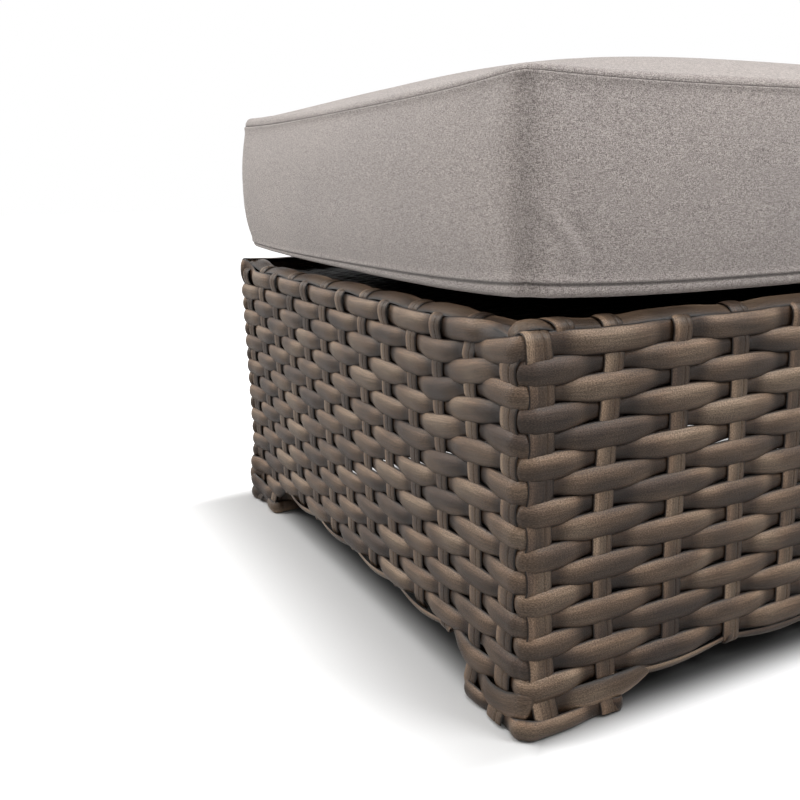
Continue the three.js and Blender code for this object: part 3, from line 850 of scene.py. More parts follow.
def lay_foot_ring(mesh, corner):
    """The lowest strand, closed round a foot."""
    s = np.linspace(0, foot_plan.total, 150, endpoint=False)
    wave = ring_wave(s, foot_stakes(FOOT_LAST_ROW), [1, -1] * 3, foot_plan.total)
    wave = pushed_out(wave, s, [0, foot_plan.total], [0, 0])
    place, out = foot_plan.at(s)
    from_corner = np.minimum(s, foot_plan.total - s)
    inner_corner = foot_plan.nearest(FOOT_FRONT - HALF, -HALF)
    depth = foot_depth(corner, wave, from_corner, FOOT_LAST_ROW, out)
    depth -= bump(s - inner_corner, RING_INNER_CORNER)
    widths = FOOT_LAST_WIDTH + wave + bump(from_corner, RING_CORNER_WIDER)
    points, normals = at_corner(corner, *along_plan(place, out, depth, widths / 2 + 0.2))
    mesh.sweep(points, normals, widths, weave_crown(wave) - 0.4, closed=True, wave=wave)


def lay_foot_shoulder(mesh, corner):
    """The strand over the foot's second front stake: its tail runs out under the lowest row of the
    skirt, and it goes on round the corner and the flank and closes the inner faces of the foot."""
    places = foot_stakes(FOOT_ROW)
    signs = [-1, 1] * 4 + [-1]
    first = places[1] + SHOULDER_TAIL
    s = np.linspace(first, places[1] - foot_plan.total + 12, 170)
    spots = [p - foot_plan.total for p in places] + places[:2] + [first + 30]
    wave = pushed_out(over_under(s, spots, signs), s, [0, -foot_plan.total], [0, 0])
    past = np.maximum(s - places[1], 0)
    place, out = foot_plan.at(s - past)
    place = place + past[:, None] * np.array([[1.0, 0.0]])
    taper = np.clip((past - 8) / (SHOULDER_TAIL - 8), 0, 1)
    z = FOOT_ROW + 0.9 + 7.5 * taper ** 1.6 + bump(s, SHOULDER_CORNER_RISE)
    z -= bump(s - SHOULDER_DIP_PLACE, SHOULDER_DIP)
    depth = foot_depth(corner, wave, s, z, out) + 0.8 * taper
    points, normals = at_corner(corner, *along_plan(place, out, depth, z))
    width = 17.9 + 1.4 * wave - 14.0 * taper ** 1.5 + bump(s - 3, SHOULDER_CORNER_WIDER)
    mesh.sweep(points, normals, width, weave_crown(wave) * (1 - 0.5 * taper), wave=wave)


def lay_inner_stake(mesh, corner, s_place):
    """A short stake on an inner face of a foot."""
    place, out = foot_plan.at(np.full(12, s_place))
    z = np.linspace(1.4, side_skirt + 3, 12)
    points, normals = at_corner(corner, *along_plan(place, out, INNER_STAKE_DEPTH - foot_flare(z), z))
    mesh.sweep(points, normals, STAKE_WIDTH, 1.4, kind="stake")


def lay_inner_strand(mesh, corner):
    """The inner faces carry one more strand above the shoulder, up to the skirt."""
    s = np.linspace(foot_plan.nearest(FOOT_FRONT - HALF, 6 - HALF),
                    foot_plan.nearest(6 - HALF, FOOT_SIDE - HALF), 60)
    wave = over_under(s, [s[0] - 20, inner_front, inner_back, s[-1] + 20], [1, -1, 1, -1])
    level = FOOT_ROW + INNER_STRAND_RISE
    place, out = foot_plan.at(s)
    points, normals = at_corner(corner, *along_plan(place, out, weave_depth(wave) - foot_flare(level), level))
    mesh.sweep(points, normals, INNER_STRAND_WIDTH + wave, weave_crown(wave), wave=wave)


def lay_last_row(mesh, side):
    """The lowest front or back row: it turns both corners, passes over the second stake of each
    flank, and is tucked up behind the flank's edge."""
    row = ROW_COUNT + 1
    level = front_level(row) if side == FRONT else side_level(row)
    first_stake = stakes_on(side)[0]
    dip = LAST_ROW_DIPS[side]
    start = corner_at[side] - LAST_ROW_REACH + CORNER_RADII[side] * ARC_SAVING
    end = corner_at[side + 1] + LAST_ROW_REACH - CORNER_RADII[side + 1] * ARC_SAVING
    s = np.linspace(start, end, 330)
    indices = range(first_stake - 3, first_stake + FRONT_STAKES + 3)
    places = [loop_place(i % STAKE_TOTAL, level) - body_plan.total * (i < 0) for i in indices]
    wave = over_under(s, places, [row_sign(i, row) for i in indices])
    wave = pushed_out(wave, s, corner_at[side : side + 2], CORNER_SHIFTS[side : side + 2])
    place, out = body_plan.at(s)
    beyond = HALF - np.abs(place[:, 1])
    drop = smoothstep((beyond - 30) / 50) * dip
    drop -= smoothstep((beyond - 72) / 32) * (dip + LAST_ROW_TUCK)
    depth = weave_depth(wave) - back_corner_swell(s, level)
    points, normals = along_plan(place, out, depth, level - drop - weave_drop(wave))
    width = weave_width(wave, FRONT_ROW_PITCH) - 6 * smoothstep((beyond - 78) / 24)
    mesh.sweep(points, normals, width, weave_crown(wave), wave=wave)


last_rows = StrandMesh()
for side in (FRONT, BACK):
    lay_last_row(last_rows, side)
last_rows.build("weave_lowest_rows", strand_resin, SKIN_NODES)

for name, corner in CORNERS.items():
    foot = StrandMesh()
    lay_foot_ring(foot, corner)
    lay_foot_shoulder(foot, corner)
    lay_inner_stake(foot, corner, inner_front)
    lay_inner_stake(foot, corner, inner_back)
    lay_inner_strand(foot, corner)
    foot.build(f"foot_weave_{name}", strand_resin, [f"foot_inner_weave_{name}"])

# Stakes, rim and borders

FOOT_REACH = 0.3 * HALF
RIM_TOP_DEPTH = 14.0
RIM_TOP_EDGE = 280.6
RIM_CROWN = 2.8
RIM_RAISED = [0.0, 0.0, 5.0, 0.0]
RIM_STARTS = [37, 14, 9, 14]
BINDING_PLACE = 37.5
OTHER_RIMS_HIGHER = 0.6
# Heights at the rims' ends and their reach, mm
FRONT_END_RISE = (0.8, 30)
BACK_END_RISE = (2.5, 50)
FLANK_FRONT_DIP = (4.0, 26)
FLANK_BACK_RISE = (4.6, 62)


def from_nearer_corner(u):
    return min(u, 2 * HALF - u)


def stake_is_outside_top_row(index):
    """Whether a stake's head turns in over the top row, or comes up behind it and over the rim. Next
    to the front corners the flanks have the front's top row, as their extra row has ended."""
    side, u = stakes[index]
    by_front = side == FRONT
    if side == RIGHT:
        by_front = u < CORNER_STAKE_REACH
    elif side == LEFT:
        by_front = u > 2 * HALF - CORNER_STAKE_REACH
    return index % 2 == (0 if by_front else 1)


def stake_head(index):
    """Depths and heights of a stake's end over or behind the top row."""
    side, u = stakes[index]
    rise = RIM_RAISED[side]
    by_corner = from_nearer_corner(u) < CORNER_STAKE_REACH
    if stake_is_outside_top_row(index):
        head = [(3.0, 264), (1.8, 270), (2.2, 275), (4.4, 278.8), (8.4, 280.0), (13, 279.2), (18, 277)]
        return [(depth - 0.9 * by_corner, z) for depth, z in head]
    if by_corner:
        return [(4.8, 264), (5.6, 270), (7.6, 274.5), (11.0, 276.5), (15, 276)]
    return [(5.2, 264), (6.6, 272), (5.8, 276.5), (6.6, 280 + rise), (9.8, 282.4 + rise),
            (14.4, 283.4 + rise), (19.6, 283.4 + rise), (23.2, 280.6 + rise), (24.4, 275), (24.4, 268)]


def stake_path(index):
    """Depth and height of a stake from its foot to its hidden end, mm, and its wave."""
    side, u = stakes[index]
    near_foot = from_nearer_corner(u) < FOOT_REACH
    skirt = side_skirt if side % 2 else front_skirt
    low = 2.6 if near_foot else skirt - 2.5
    rows = range(0 if side else 1, ROW_COUNT + (4 if near_foot else 2))
    heights = [float(row_heights(row, np.array([loop_place(index, 140)]))[0]) for row in rows][::-1]
    signs = [-row_sign(index, row) for row in rows][::-1]
    z = np.arange(low if near_foot else low + 3, 260, 3.4)
    wave = over_under(z, heights, signs)
    depth = STAKE_EDGE_DEPTH - STAKE_DEPTH_SWING * wave
    if near_foot:
        depth -= foot_flare(z)
    if from_nearer_corner(u) < CORNER_STAKE_REACH:
        depth -= 0.8 * np.maximum(wave, 0)
    path = [] if near_foot else [(7.0, low + 2.5, 0), (5.2, low - 0.2, 0)]
    return path + list(zip(depth, z, wave)) + [(d, height, 1) for d, height in stake_head(index)]


def lay_turned(mesh, side, path, step, place_at, width, crown, kind="stake", facing=1):
    """A strand that runs up and round over a side's edge, along rows of depth, height and wave."""
    rows = curve_through(path, step)
    slope = np.gradient(rows[:, :2], axis=0)
    slope /= np.linalg.norm(slope, axis=1)[:, None]
    points, normals = [], []
    for (depth, z, _), (run, rise) in zip(rows, slope):
        x, y, out = side_point(side, place_at(depth, z), depth)
        points.append((x, y, z))
        normals.append((facing * out[0] * rise, facing * out[1] * rise, facing * run))
    mesh.sweep(points, normals, width, crown, kind=kind, wave=rows[:, 2])


def lay_stake(mesh, index):
    side, u_foot = stakes[index]
    by_corner = from_nearer_corner(u_foot) < CORNER_STAKE_REACH
    head_shift = math.copysign(HEAD_SHIFT, u_foot - HALF) * by_corner

    def place_at(_, z):
        shifted = head_shift * smoothstep((z - HEAD_SHIFT_FROM) / HEAD_SHIFT_RISE)
        return stake_side_place(index, min(z, STAKE_TOP)) + shifted

    lay_turned(mesh, side, stake_path(index), 2.6, place_at, STAKE_WIDTH + 3 * by_corner, 1.5)


for side, name in enumerate(SIDE_NAMES):
    upright_strands = StrandMesh()
    for index in stakes_on(side):
        lay_stake(upright_strands, index)
    upright_strands.build(f"stakes_{name}", strand_resin, [f"weave_{name}"])


LIFT_WIDTH = 14.6
# Into the flank from the front, in from the flank's face, height, and the way the strand faces
LIFT_ROWS = [
    (27.0, 11.0, 261.0, -1.0, 0.0, 0.0),
    (24.5, 10.4, 269.0, -1.0, -0.05, 0.1),
    (20.4, 8.4, 276.4, -0.85, -0.15, 0.5),
    (15.4, 8.2, 281.4, -0.5, -0.25, 0.8),
    (12.4, 12.0, 283.2, -0.2, -0.28, 0.92),
    (11.8, 17.0, 283.7, -0.05, -0.3, 0.95),
    (12.2, 23.0, 283.0, 0.05, -0.3, 0.95),
    (13.0, 29.5, 281.4, 0.0, -0.3, 0.95),
]


def corner_lift(at_end=False):
    """The front strand's way up from behind the flank's top row and round the corner onto the rim."""
    smooth = curve_through(LIFT_ROWS, 1.8)
    points = np.column_stack([smooth[:, 1] - HALF, smooth[:, 0] - HALF, smooth[:, 2]])
    normals = smooth[:, 3:]
    if at_end:
        flip = np.array([-1, 1, 1])
        points, normals = (points * flip)[::-1], (normals * flip)[::-1]
    return points.tolist(), normals.tolist()


def lay_rim_top(mesh, side):
    """The strand that lies along the top of the rim, tilted a little outwards: it rises over the
    heads of the stakes that turn in, and is bound down by the others."""
    places = [float(stake_side_place(i, STAKE_TOP)) for i in stakes_on(side)]
    signs = [1 if stake_is_outside_top_row(i) else -1 for i in stakes_on(side)]
    start = RIM_STARTS[side]
    end = 2 * HALF - start
    u = np.linspace(start, end, 190)
    wave = over_under(u, [places[0] - 40, *places, places[-1] + 40], [-signs[0], *signs, -signs[-1]])
    to_end = np.minimum(u - start, end - u)
    to_front, to_back = (end - u, u - start) if side == LEFT else (u - start, end - u)
    z = RIM_TOP_EDGE + RIM_RAISED[side] + 0.9 * wave
    if side == FRONT:
        z += end_change(to_end, FRONT_END_RISE)
    elif side == BACK:
        z += OTHER_RIMS_HIGHER + end_change(to_end, BACK_END_RISE)
    else:
        z += OTHER_RIMS_HIGHER - end_change(to_front, FLANK_FRONT_DIP) + end_change(to_back, FLANK_BACK_RISE)
    controls, normals = [], []
    for ui, zi in zip(u, z):
        x, y, out = side_point(side, ui, RIM_TOP_DEPTH + 0.4 * math.sin(ui / 40))
        controls.append((x, y, zi))
        normals.append((0.28 * out[0], 0.28 * out[1], 1))
    widths = TOP_ROW_WIDTH + 0.6 * wave
    if side == FRONT:
        head, head_normals = corner_lift()
        tail, tail_normals = corner_lift(at_end=True)
        controls = head + controls + tail
        normals = head_normals + normals + tail_normals
        widths = np.concatenate([np.full(len(head), LIFT_WIDTH), widths, np.full(len(tail), LIFT_WIDTH)])
    mesh.sweep(controls, normals, widths, RIM_CROWN)


BINDING_PATH = [(8.5, 268), (7.4, 273), (6.2, 277.6), (6.4, 281.4), (9.0, 284.2), (13.4, 285.4),
                (18.6, 284.8), (22.6, 281.4), (24.2, 276), (24.2, 269)]


def lay_corner_binding(mesh, u, lean):
    """A short turn of strand that binds the rim's strand near a corner."""
    path = [(depth, z, 1) for depth, z in BINDING_PATH]
    lay_turned(mesh, FRONT, path, 1.6, lambda depth, z: u + lean * (depth - 8), 15.5, 1.3)


EXTRA_ROW_WIDTH = 16.4
EXTRA_ROW_RISE = (4.8, 60)
EXTRA_ROW_CORNER_LIFT = (2.4, 50)
# Places behind the front and depths of the row's dive behind the front's top row, mm
DIVE_DEPTHS = ([14, 28, 50], [11.0, 8.6, 8.0])


def lay_extra_row(mesh):
    """The extra row at the top of the flanks and back; at both ends it dives behind the front's top
    row as that rises to the front corners, and it is higher and wider along the back."""
    margin = 15 - CORNER_RADII[0] * ARC_SAVING
    s = row_spots[(row_spots > corner_at[1] + margin) & (row_spots < corner_at[4] - margin)]
    indices = [i for i, (side, _) in enumerate(stakes) if side != FRONT]
    wave = over_under(s, [loop_place(i, STAKE_TOP) for i in indices], [row_sign(i, 0) for i in indices])
    wave = pushed_out(wave, s, corner_at[2:4], [0, 0])
    place, out = body_plan.at(s)
    from_front = place[:, 1] + HALF
    rise = end_change(from_front - 62, EXTRA_ROW_RISE)
    climb = fade(from_front - 52, 13)
    depth = weave_depth(wave) * (1 - climb) + np.interp(from_front, *DIVE_DEPTHS) * climb
    depth -= back_corner_swell(s, SIDE_EXTRA_ROW)
    from_back_corner = np.minimum(np.abs(s - corner_at[2]), np.abs(s - corner_at[3]))
    on_back = smoothstep((from_front - 2 * HALF + 58) / 50)
    on_back *= 3.6 + end_change(from_back_corner, EXTRA_ROW_CORNER_LIFT)
    z = SIDE_EXTRA_ROW + rise + 0.3 * np.sin(s / 50) + 0.6 * climb + on_back
    points, normals = along_plan(place, out, depth, z, 0.5 * climb ** 2)
    width = EXTRA_ROW_WIDTH + 0.7 * wave - 1.2 * climb + 2.0 * on_back
    mesh.sweep(points, normals, width, weave_crown(wave), wave=wave)


extra_row = StrandMesh()
lay_extra_row(extra_row)
extra_row.build("weave_flank_top_row", strand_resin, SKIN_NODES)

for side, name in enumerate(SIDE_NAMES):
    rim = StrandMesh()
    lay_rim_top(rim, side)
    if side == FRONT:
        lay_corner_binding(rim, BINDING_PLACE, -0.5)
        lay_corner_binding(rim, 2 * HALF - BINDING_PLACE, 0.5)
    rim.build(f"rim_strands_{name}", strand_resin, [f"rim_{name}"])

# Depth and height over the skirt's edge of a turn of strand that binds the border
BORDER_TURN = [(3.6, 6), (1.6, 3), (1.8, -0.6), (4.2, -2.6), (7.6, -1.2), (8.4, 3)]


def lay_border(mesh, side):
    """The thin strand under the skirt: it hangs in a shallow scallop below every second stake, and
    small turns of strand bind it to the lowest row between them."""
    skirt = side_skirt if side % 2 else front_skirt
    middles = [float(stake_side_place(i, skirt)) for i in stakes_on(side)]
    hung = middles[3:-2:2] if side % 2 else middles[2:-2:2]
    half = 0.5 * (hung[1] - hung[0])
    start, end = hung[0] - half, hung[-1] + half
    u = np.linspace(start - 8, end + 8, 200)
    nearest = np.min(np.abs(u[:, None] - np.array(hung)[None, :]), axis=1)
    sag = np.cos(np.clip(nearest / half, 0, 1) * math.pi / 2) ** 1.2
    points, normals = [], []
    for ui, g in zip(u, sag):
        x, y, out = side_point(side, ui, 4.4 - 1.6 * g)
        points.append((x, y, skirt + 1.6 - 5.0 * g))
        normals.append((out[0], out[1], -0.5))
    mesh.sweep(points, normals, 6.0 + 3.4 * sag, 1.5, kind="thin")
    path = [(depth, skirt + z, 1) for depth, z in BORDER_TURN]
    for k in range(len(hung) + 1):
        middle = start + 2 * half * k
        lay_turned(mesh, side, path, 1.5, lambda depth, z: middle + 0.8 * (z - skirt), 5.0, 0.6, "thin", -1)


for side, name in enumerate(SIDE_NAMES):
    border = StrandMesh()
    lay_border(border, side)
    border.build(f"border_strands_{name}", strand_resin, [f"bottom_border_{name}"])

# The woven deck

deck_half = deck_high[0]
deck_middle = (deck_low[2] + deck_high[2]) / 2
DECK_STRANDS = 27
DECK_STRAND_WIDTH = 17.5


def lay_deck(mesh, crosswise):
    """One of the deck's two sets of strands, woven over one and under one."""
    pitch = 2 * deck_half / DECK_STRANDS
    t = np.linspace(0.5 - deck_half, deck_half - 0.5, 136)
    for k in range(DECK_STRANDS):
        sign = 1 if (k % 2 == 0) == crosswise else -1
        wave = np.cos(np.pi * (t + deck_half - pitch / 2) / pitch) * sign
        z = deck_middle - 0.4 + 0.85 * wave
        line = np.full(len(t), pitch * (k + 0.5) - deck_half)
        points = np.column_stack([t, line, z] if crosswise else [line, t, z])
        mesh.sweep(points, [(0, 0, 1)] * len(t), DECK_STRAND_WIDTH, 0.8 + 0.2 * wave, wall=0.9, kind="thin")


for crosswise, name in ((True, "deck_strands_crosswise"), (False, "deck_strands_front_to_back")):
    deck = StrandMesh()
    lay_deck(deck, crosswise)
    deck.build(name, deck_resin, ["woven_deck"])

# The cushion

CUSHION_HALF = 296.0
CUSHION_CORNER = 18.0
TOP_SEAM = 432.7
BOTTOM_SEAM = 306.2
TOP_CROWN = cushion_top - TOP_SEAM
BOTTOM_CROWN = BOTTOM_SEAM - cushion_floor
SIDE_BULGES = [5.5, 7.0, 2.0, 8.5]
CORNER_BULGES = [6.5, 7.0, 7.0, 8.5]
SEAM_DRAW_IN = 3.0
SEAM_SAG = [4.4, 3.0, 3.0, 2.6]
CORNER_LIFT = 4.0
TOP_EDGE_ROLLS = [(3.5, 3.5), (3.5, 3.5), (3.5, 7.5), (7.5, 3.5)]
BOTTOM_EDGE_ROLLS = [(9.5, 8.0), (8.0, 8.0), (8.0, 4.5), (4.5, 9.5)]
LAPEL_STEPS = [0, 1.2, 2.4, 4, 6.5, 10, 15, 21]
BOXING_STEPS = [0, 0.9, 1.8, 3.2, 5.5, 9, 14, 20, 27, 34, 41, 48.5]
TAPE_ROOM = 14.5
zip_middle = (tape_low[2] + tape_high[2]) / 2
zip_half = tape_high[0]


def mirrored_shares(steps, half):
    """Places from -1 to 1, close together near both ends."""
    low = [step / half - 1 for step in steps]
    return np.array(low + [-share for share in reversed(low)])


edge_shares = mirrored_shares(LAPEL_STEPS + list(np.linspace(28, CUSHION_HALF, 35)[:-1]), CUSHION_HALF)
edge_shares = np.insert(edge_shares, len(edge_shares) // 2, 0.0)
boxing_shares = mirrored_shares(BOXING_STEPS, (TOP_SEAM - BOTTOM_SEAM) / 2)
boxing_shares = np.insert(boxing_shares, len(boxing_shares) // 2, 0.0)


def cushion_outline():
    """Rounded square: place, outward direction, and share of the way to a corner."""
    loop = []
    run = CUSHION_HALF - CUSHION_CORNER
    arc = CUSHION_CORNER * math.pi / 4
    for k in range(4):
        for share in edge_shares[:-1]:
            distance = abs(share) * (run + arc)
            if distance <= run:
                x, y, nx, ny = math.copysign(distance, share), -CUSHION_HALF, 0.0, -1.0
            else:
                angle = (distance - run) / CUSHION_CORNER
                x = math.copysign(run + CUSHION_CORNER * math.sin(angle), share)
                y = -CUSHION_HALF + CUSHION_CORNER * (1 - math.cos(angle))
                nx, ny = math.copysign(math.sin(angle), share), -math.cos(angle)
            for _ in range(k):
                x, y, nx, ny = -y, x, -ny, nx
            loop.append((x, y, nx, ny, share, k))
    return loop


def boxing_point(x, y, nx, ny, share, k, height):
    corner_bulge = CORNER_BULGES[(k + 1) % 4 if share > 0 else k]
    fullness = SIDE_BULGES[k] + (corner_bulge - SIDE_BULGES[k]) * abs(share) ** (20 if k == 2 else 4)
    bulge = fullness * (1 - abs(height) ** (3.0 if height < 0 else 2.1))
    draw_in = SEAM_DRAW_IN * (1 - share ** 2) * height ** 2
    z = (TOP_SEAM + BOTTOM_SEAM) / 2 + (TOP_SEAM - BOTTOM_SEAM) / 2 * height
    z += CORNER_LIFT * share ** 4 * height ** 2
    z -= SEAM_SAG[k] * (1 - share ** 2) ** 0.8 * ((1 - height) / 2) ** 2
    return x + nx * (bulge - draw_in), y + ny * (bulge - draw_in), z


def panel_height(side, ring, share, k):
    """Height of a panel over its seam: a turned edge, then the crown of the filling."""
    if side > 0:
        rise = (1 - ring ** 2.6) ** 0.9 * (1 - (ring * abs(share)) ** 2.6) ** 0.9
        start, end = TOP_EDGE_ROLLS[k]
        way = (share - 0.1) / 0.8 if end > start else (share + 0.9) / 0.8
        full = start + (end - start) * float(smoothstep(way))
        roll = full * min(1, (1 - ring) / 0.012)
        return roll + (TOP_CROWN - full) * rise
    rise = (1 - ring ** 2.6) ** 1.6 * (1 - (ring * abs(share)) ** 2.6) ** 0.9
    start, end = BOTTOM_EDGE_ROLLS[k]
    full = start + (end - start) * float(smoothstep((share + 1) / 2))
    turn = 1 - min(1, (1 - ring) / 0.024)
    sag = SEAM_SAG[k] * (1 - share ** 2) ** 0.8
    return -full * math.sqrt(1 - turn ** 2) - (BOTTOM_CROWN - full - sag) * min(1, 1.5 * rise)


def panel_point(side, u, v, vertices, seam):
    """A point of a panel: its ring is the seam's loop, scaled towards the middle."""
    edge = len(edge_shares) - 1
    ring = max(abs(u), abs(v))
    x = y = share = sag = 0.0
    k = 0
    if ring > 1e-6:
        if abs(v) >= abs(u):
            k, share = (0, u / ring) if v < 0 else (2, -u / ring)
        else:
            k, share = (1, v / ring) if u > 0 else (3, -v / ring)
        place = float(np.interp(share, edge_shares, np.arange(edge + 1)))
        low = min(int(place), edge - 1)
        here = vertices[seam[(k * edge + low) % len(seam)]]
        there = vertices[seam[(k * edge + low + 1) % len(seam)]]
        x = (here[0] + (there[0] - here[0]) * (place - low)) * ring
        y = (here[1] + (there[1] - here[1]) * (place - low)) * ring
    if side < 0:
        sag = SEAM_SAG[k] * (1 - share ** 2) ** 0.8
    level = (TOP_SEAM if side > 0 else BOTTOM_SEAM - sag) + CORNER_LIFT * share ** 4 * ring ** 4
    return x, y, level + panel_height(side, ring, share, k)


def build_cushion_shell():
    """A closed shell: two panels and the boxing between them, with rows close together at the seams
    and each point's distance from its seam kept, panels above 0 and the boxing below."""
    loop = cushion_outline()
    total, edge = len(loop), len(edge_shares) - 1
    rows = len(boxing_shares) - 1
    vertices, faces, from_seam = [], [], []
    for height in boxing_shares:
        vertices += [boxing_point(*p, height) for p in loop]
        from_seam += [-(1 - abs(height)) * (TOP_SEAM - BOTTOM_SEAM) / 2] * total
    for row in range(rows):
        for j in range(total):
            a, b = row * total + j, row * total + (j + 1) % total
            faces.append((a, b, b + total, a + total))
    for side, seam_start in ((-1, 0), (1, rows * total)):
        seam = list(range(seam_start, seam_start + total))
        index = {}
        for j, vertex in enumerate(seam):
            k, step = divmod(j, edge)
            index[[(step, 0), (edge, step), (edge - step, edge), (0, edge - step)][k]] = vertex
        for i in range(1, edge):
            for j in range(1, edge):
                u, v = edge_shares[i], edge_shares[j]
                index[(i, j)] = len(vertices)
                vertices.append(panel_point(side, u, v, vertices, seam))
                from_seam.append((1 - max(abs(u), abs(v))) * CUSHION_HALF)
        for i in range(edge):
            for j in range(edge):
                quad = (index[(i, j)], index[(i + 1, j)], index[(i + 1, j + 1)], index[(i, j + 1)])
                faces.append(quad if side > 0 else quad[::-1])
    piece = mesh_object("seat_cushion", np.array(vertices) * MM, faces)
    keep_values(piece, "from_seam", from_seam)
    return piece


def read_points(mesh, what="co"):
    """The places of a mesh's points, or with "normal" their normals."""
    values = np.empty(len(mesh.vertices) * 3)
    mesh.vertices.foreach_get(what, values)
    return values.reshape(-1, 3)


def write_points(mesh, co):
    mesh.vertices.foreach_set("co", co.ravel())
    mesh.update()


def seam_distance(mesh):
    values = np.empty(len(mesh.vertices), dtype=np.float32)
    mesh.attributes["from_seam"].data.foreach_get("value", values)
    return values.astype(float)


CLOTH_CAP = 2.5 * MM
CLOTH_FRAMES = 20
STITCHED_REACH = 18


def inflate(piece):
    """Blows the stitched shell up with cloth, then limits how far each point has moved."""
    start = read_points(piece.data)
    make_active(piece)
    cloth = piece.modifiers.new("cloth", "CLOTH")
    settings = cloth.settings
    settings.quality = 5
    settings.use_pressure = True
    settings.uniform_pressure_force = 4
    settings.effector_weights.gravity = 0
    settings.tension_stiffness = 25
    settings.compression_stiffness = 25
    settings.bending_stiffness = 1.5
    scene = bpy.context.scene
    for frame_number in range(1, CLOTH_FRAMES + 1):
        scene.frame_set(frame_number)
    shown = piece.evaluated_get(bpy.context.evaluated_depsgraph_get())
    moved = read_points(shown.data)
    piece.modifiers.remove(cloth)
    scene.frame_set(1)
    step = (moved - start) * smoothstep(np.abs(seam_distance(piece.data)) / STITCHED_REACH)[:, None]
    length = np.linalg.norm(step, axis=1)
    limit = np.where(length > 1e-9, CLOTH_CAP * np.tanh(length / CLOTH_CAP) / np.maximum(length, 1e-9), 1.0)
    limit *= np.where(seam_distance(piece.data) > 0, 0.5, 1.0)
    write_points(piece.data, start + step * limit[:, None])


cushion = build_cushion_shell()
inflate(cushion)
make_active(cushion)
finer = cushion.modifiers.new("finer", "SUBSURF")
finer.levels = finer.render_levels = 1
bpy.ops.object.modifier_apply(modifier="finer")


def rest_and_clear_zip(piece):
    """Flattens the underside on the deck and makes room behind the zip."""
    co = read_points(piece.data) / MM
    co[:, 2] = np.maximum(co[:, 2], cushion_floor)
    by_tape = (np.abs(co[:, 2] - zip_middle) < TAPE_ROOM) & (np.abs(co[:, 0]) < zip_half)
    behind = by_tape & (co[:, 1] > CUSHION_HALF - 6)
    co[behind, 1] = np.minimum(co[behind, 1], tape_low[1] - 0.6)
    write_points(piece.data, co * MM)


rest_and_clear_zip(cushion)

# Distance from a seam and how far the cloth stands out or is drawn in there, mm
LIP_PLACES = [-4.0, -2.2, -1.2, -0.6, 0.0, 0.5, 1.1, 2.0, 3.6, 6.0, 9.0, 14.0]
LIP_HEIGHTS = [0.0, 0.0, -0.2, -0.7, -1.4, -0.8, 0.0, 0.4, 0.6, 0.5, 0.2, 0.0]


def sew_seams(piece):
    """Draws the cloth in along both seams and lets the panels' turned edges stand over them."""
    mesh = piece.data
    lift = np.interp(seam_distance(mesh), LIP_PLACES, LIP_HEIGHTS) * MM
    write_points(mesh, read_points(mesh) + read_points(mesh, "normal") * lift[:, None])


# Side, from, to (along the side and up), bow, height and width of each fold, mm
FOLDS = [
    (FRONT, (-299, 361), (-249, 315), 7.0, 2.8, 3.0),
    (FRONT, (-288, 356), (-241, 314), 8.0, -2.0, 5.0),
    (RIGHT, (252, 352), (266, 330), 2.5, 0.9, 4.0),
    (BACK, (-262, 350), (-250, 328), 2.5, 0.9, 4.0),
    (LEFT, (250, 345), (262, 322), 2.5, 0.8, 4.0),
]


def press_creases(piece):
    """Small soft folds that the filling leaves in the boxing near its corners."""
    mesh = piece.data
    co = read_points(mesh)
    normals = read_points(mesh, "normal")
    upright = np.abs(normals[:, 2]) < 0.4
    shift = np.zeros(len(co))
    for side, a, b, bow, height, width in FOLDS:
        along = [co[:, 0], co[:, 1], -co[:, 0], -co[:, 1]][side] / MM
        out = [-normals[:, 1], normals[:, 0], normals[:, 1], -normals[:, 0]][side]
        start, end = np.array(a, float), np.array(b, float)
        line = end - start
        length = np.linalg.norm(line)
        line /= length
        t = (along - start[0]) * line[0] + (co[:, 2] / MM - start[1]) * line[1]
        n = (along - start[0]) * -line[1] + (co[:, 2] / MM - start[1]) * line[0]
        share = np.clip(t / length, 0, 1)
        n = n - bow * np.sin(math.pi * share)
        along_fade = np.where((t > 0) & (t < length), np.sin(math.pi * share) ** 0.7, 0)
        shift += height * along_fade * bell(n, width) * upright * (out > 0.7)
    write_points(mesh, co + normals * (shift * MM)[:, None])


sew_seams(cushion)
press_creases(cushion)
for polygon in cushion.data.polygons:
    polygon.use_smooth = True
cushion.data.materials.append(fabric)
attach(cushion, "cushion")
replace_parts(cushion, "cushion_top_panel", "cushion_bottom_panel", "cushion_boxing_strip",
            "cushion_foam_core", "cushion_top_pad", "cushion_bottom_pad")

# The zip's fabric flaps and teeth

FLAP_STITCH = 14.9
# Height from the zip's middle and depth of the points round a flap, with a groove at its stitches
FLAP_SECTION = [(24.5, 298.6), (24.5, 301.5), (20, 301.9), (15.6, 302.1), (FLAP_STITCH, 301.7), (14.2, 302.1),
                (9, 302.0), (5.6, 301.6), (4.4, 300.7), (4.4, 299.9), (5.8, 299.7), (14, 300.2)]


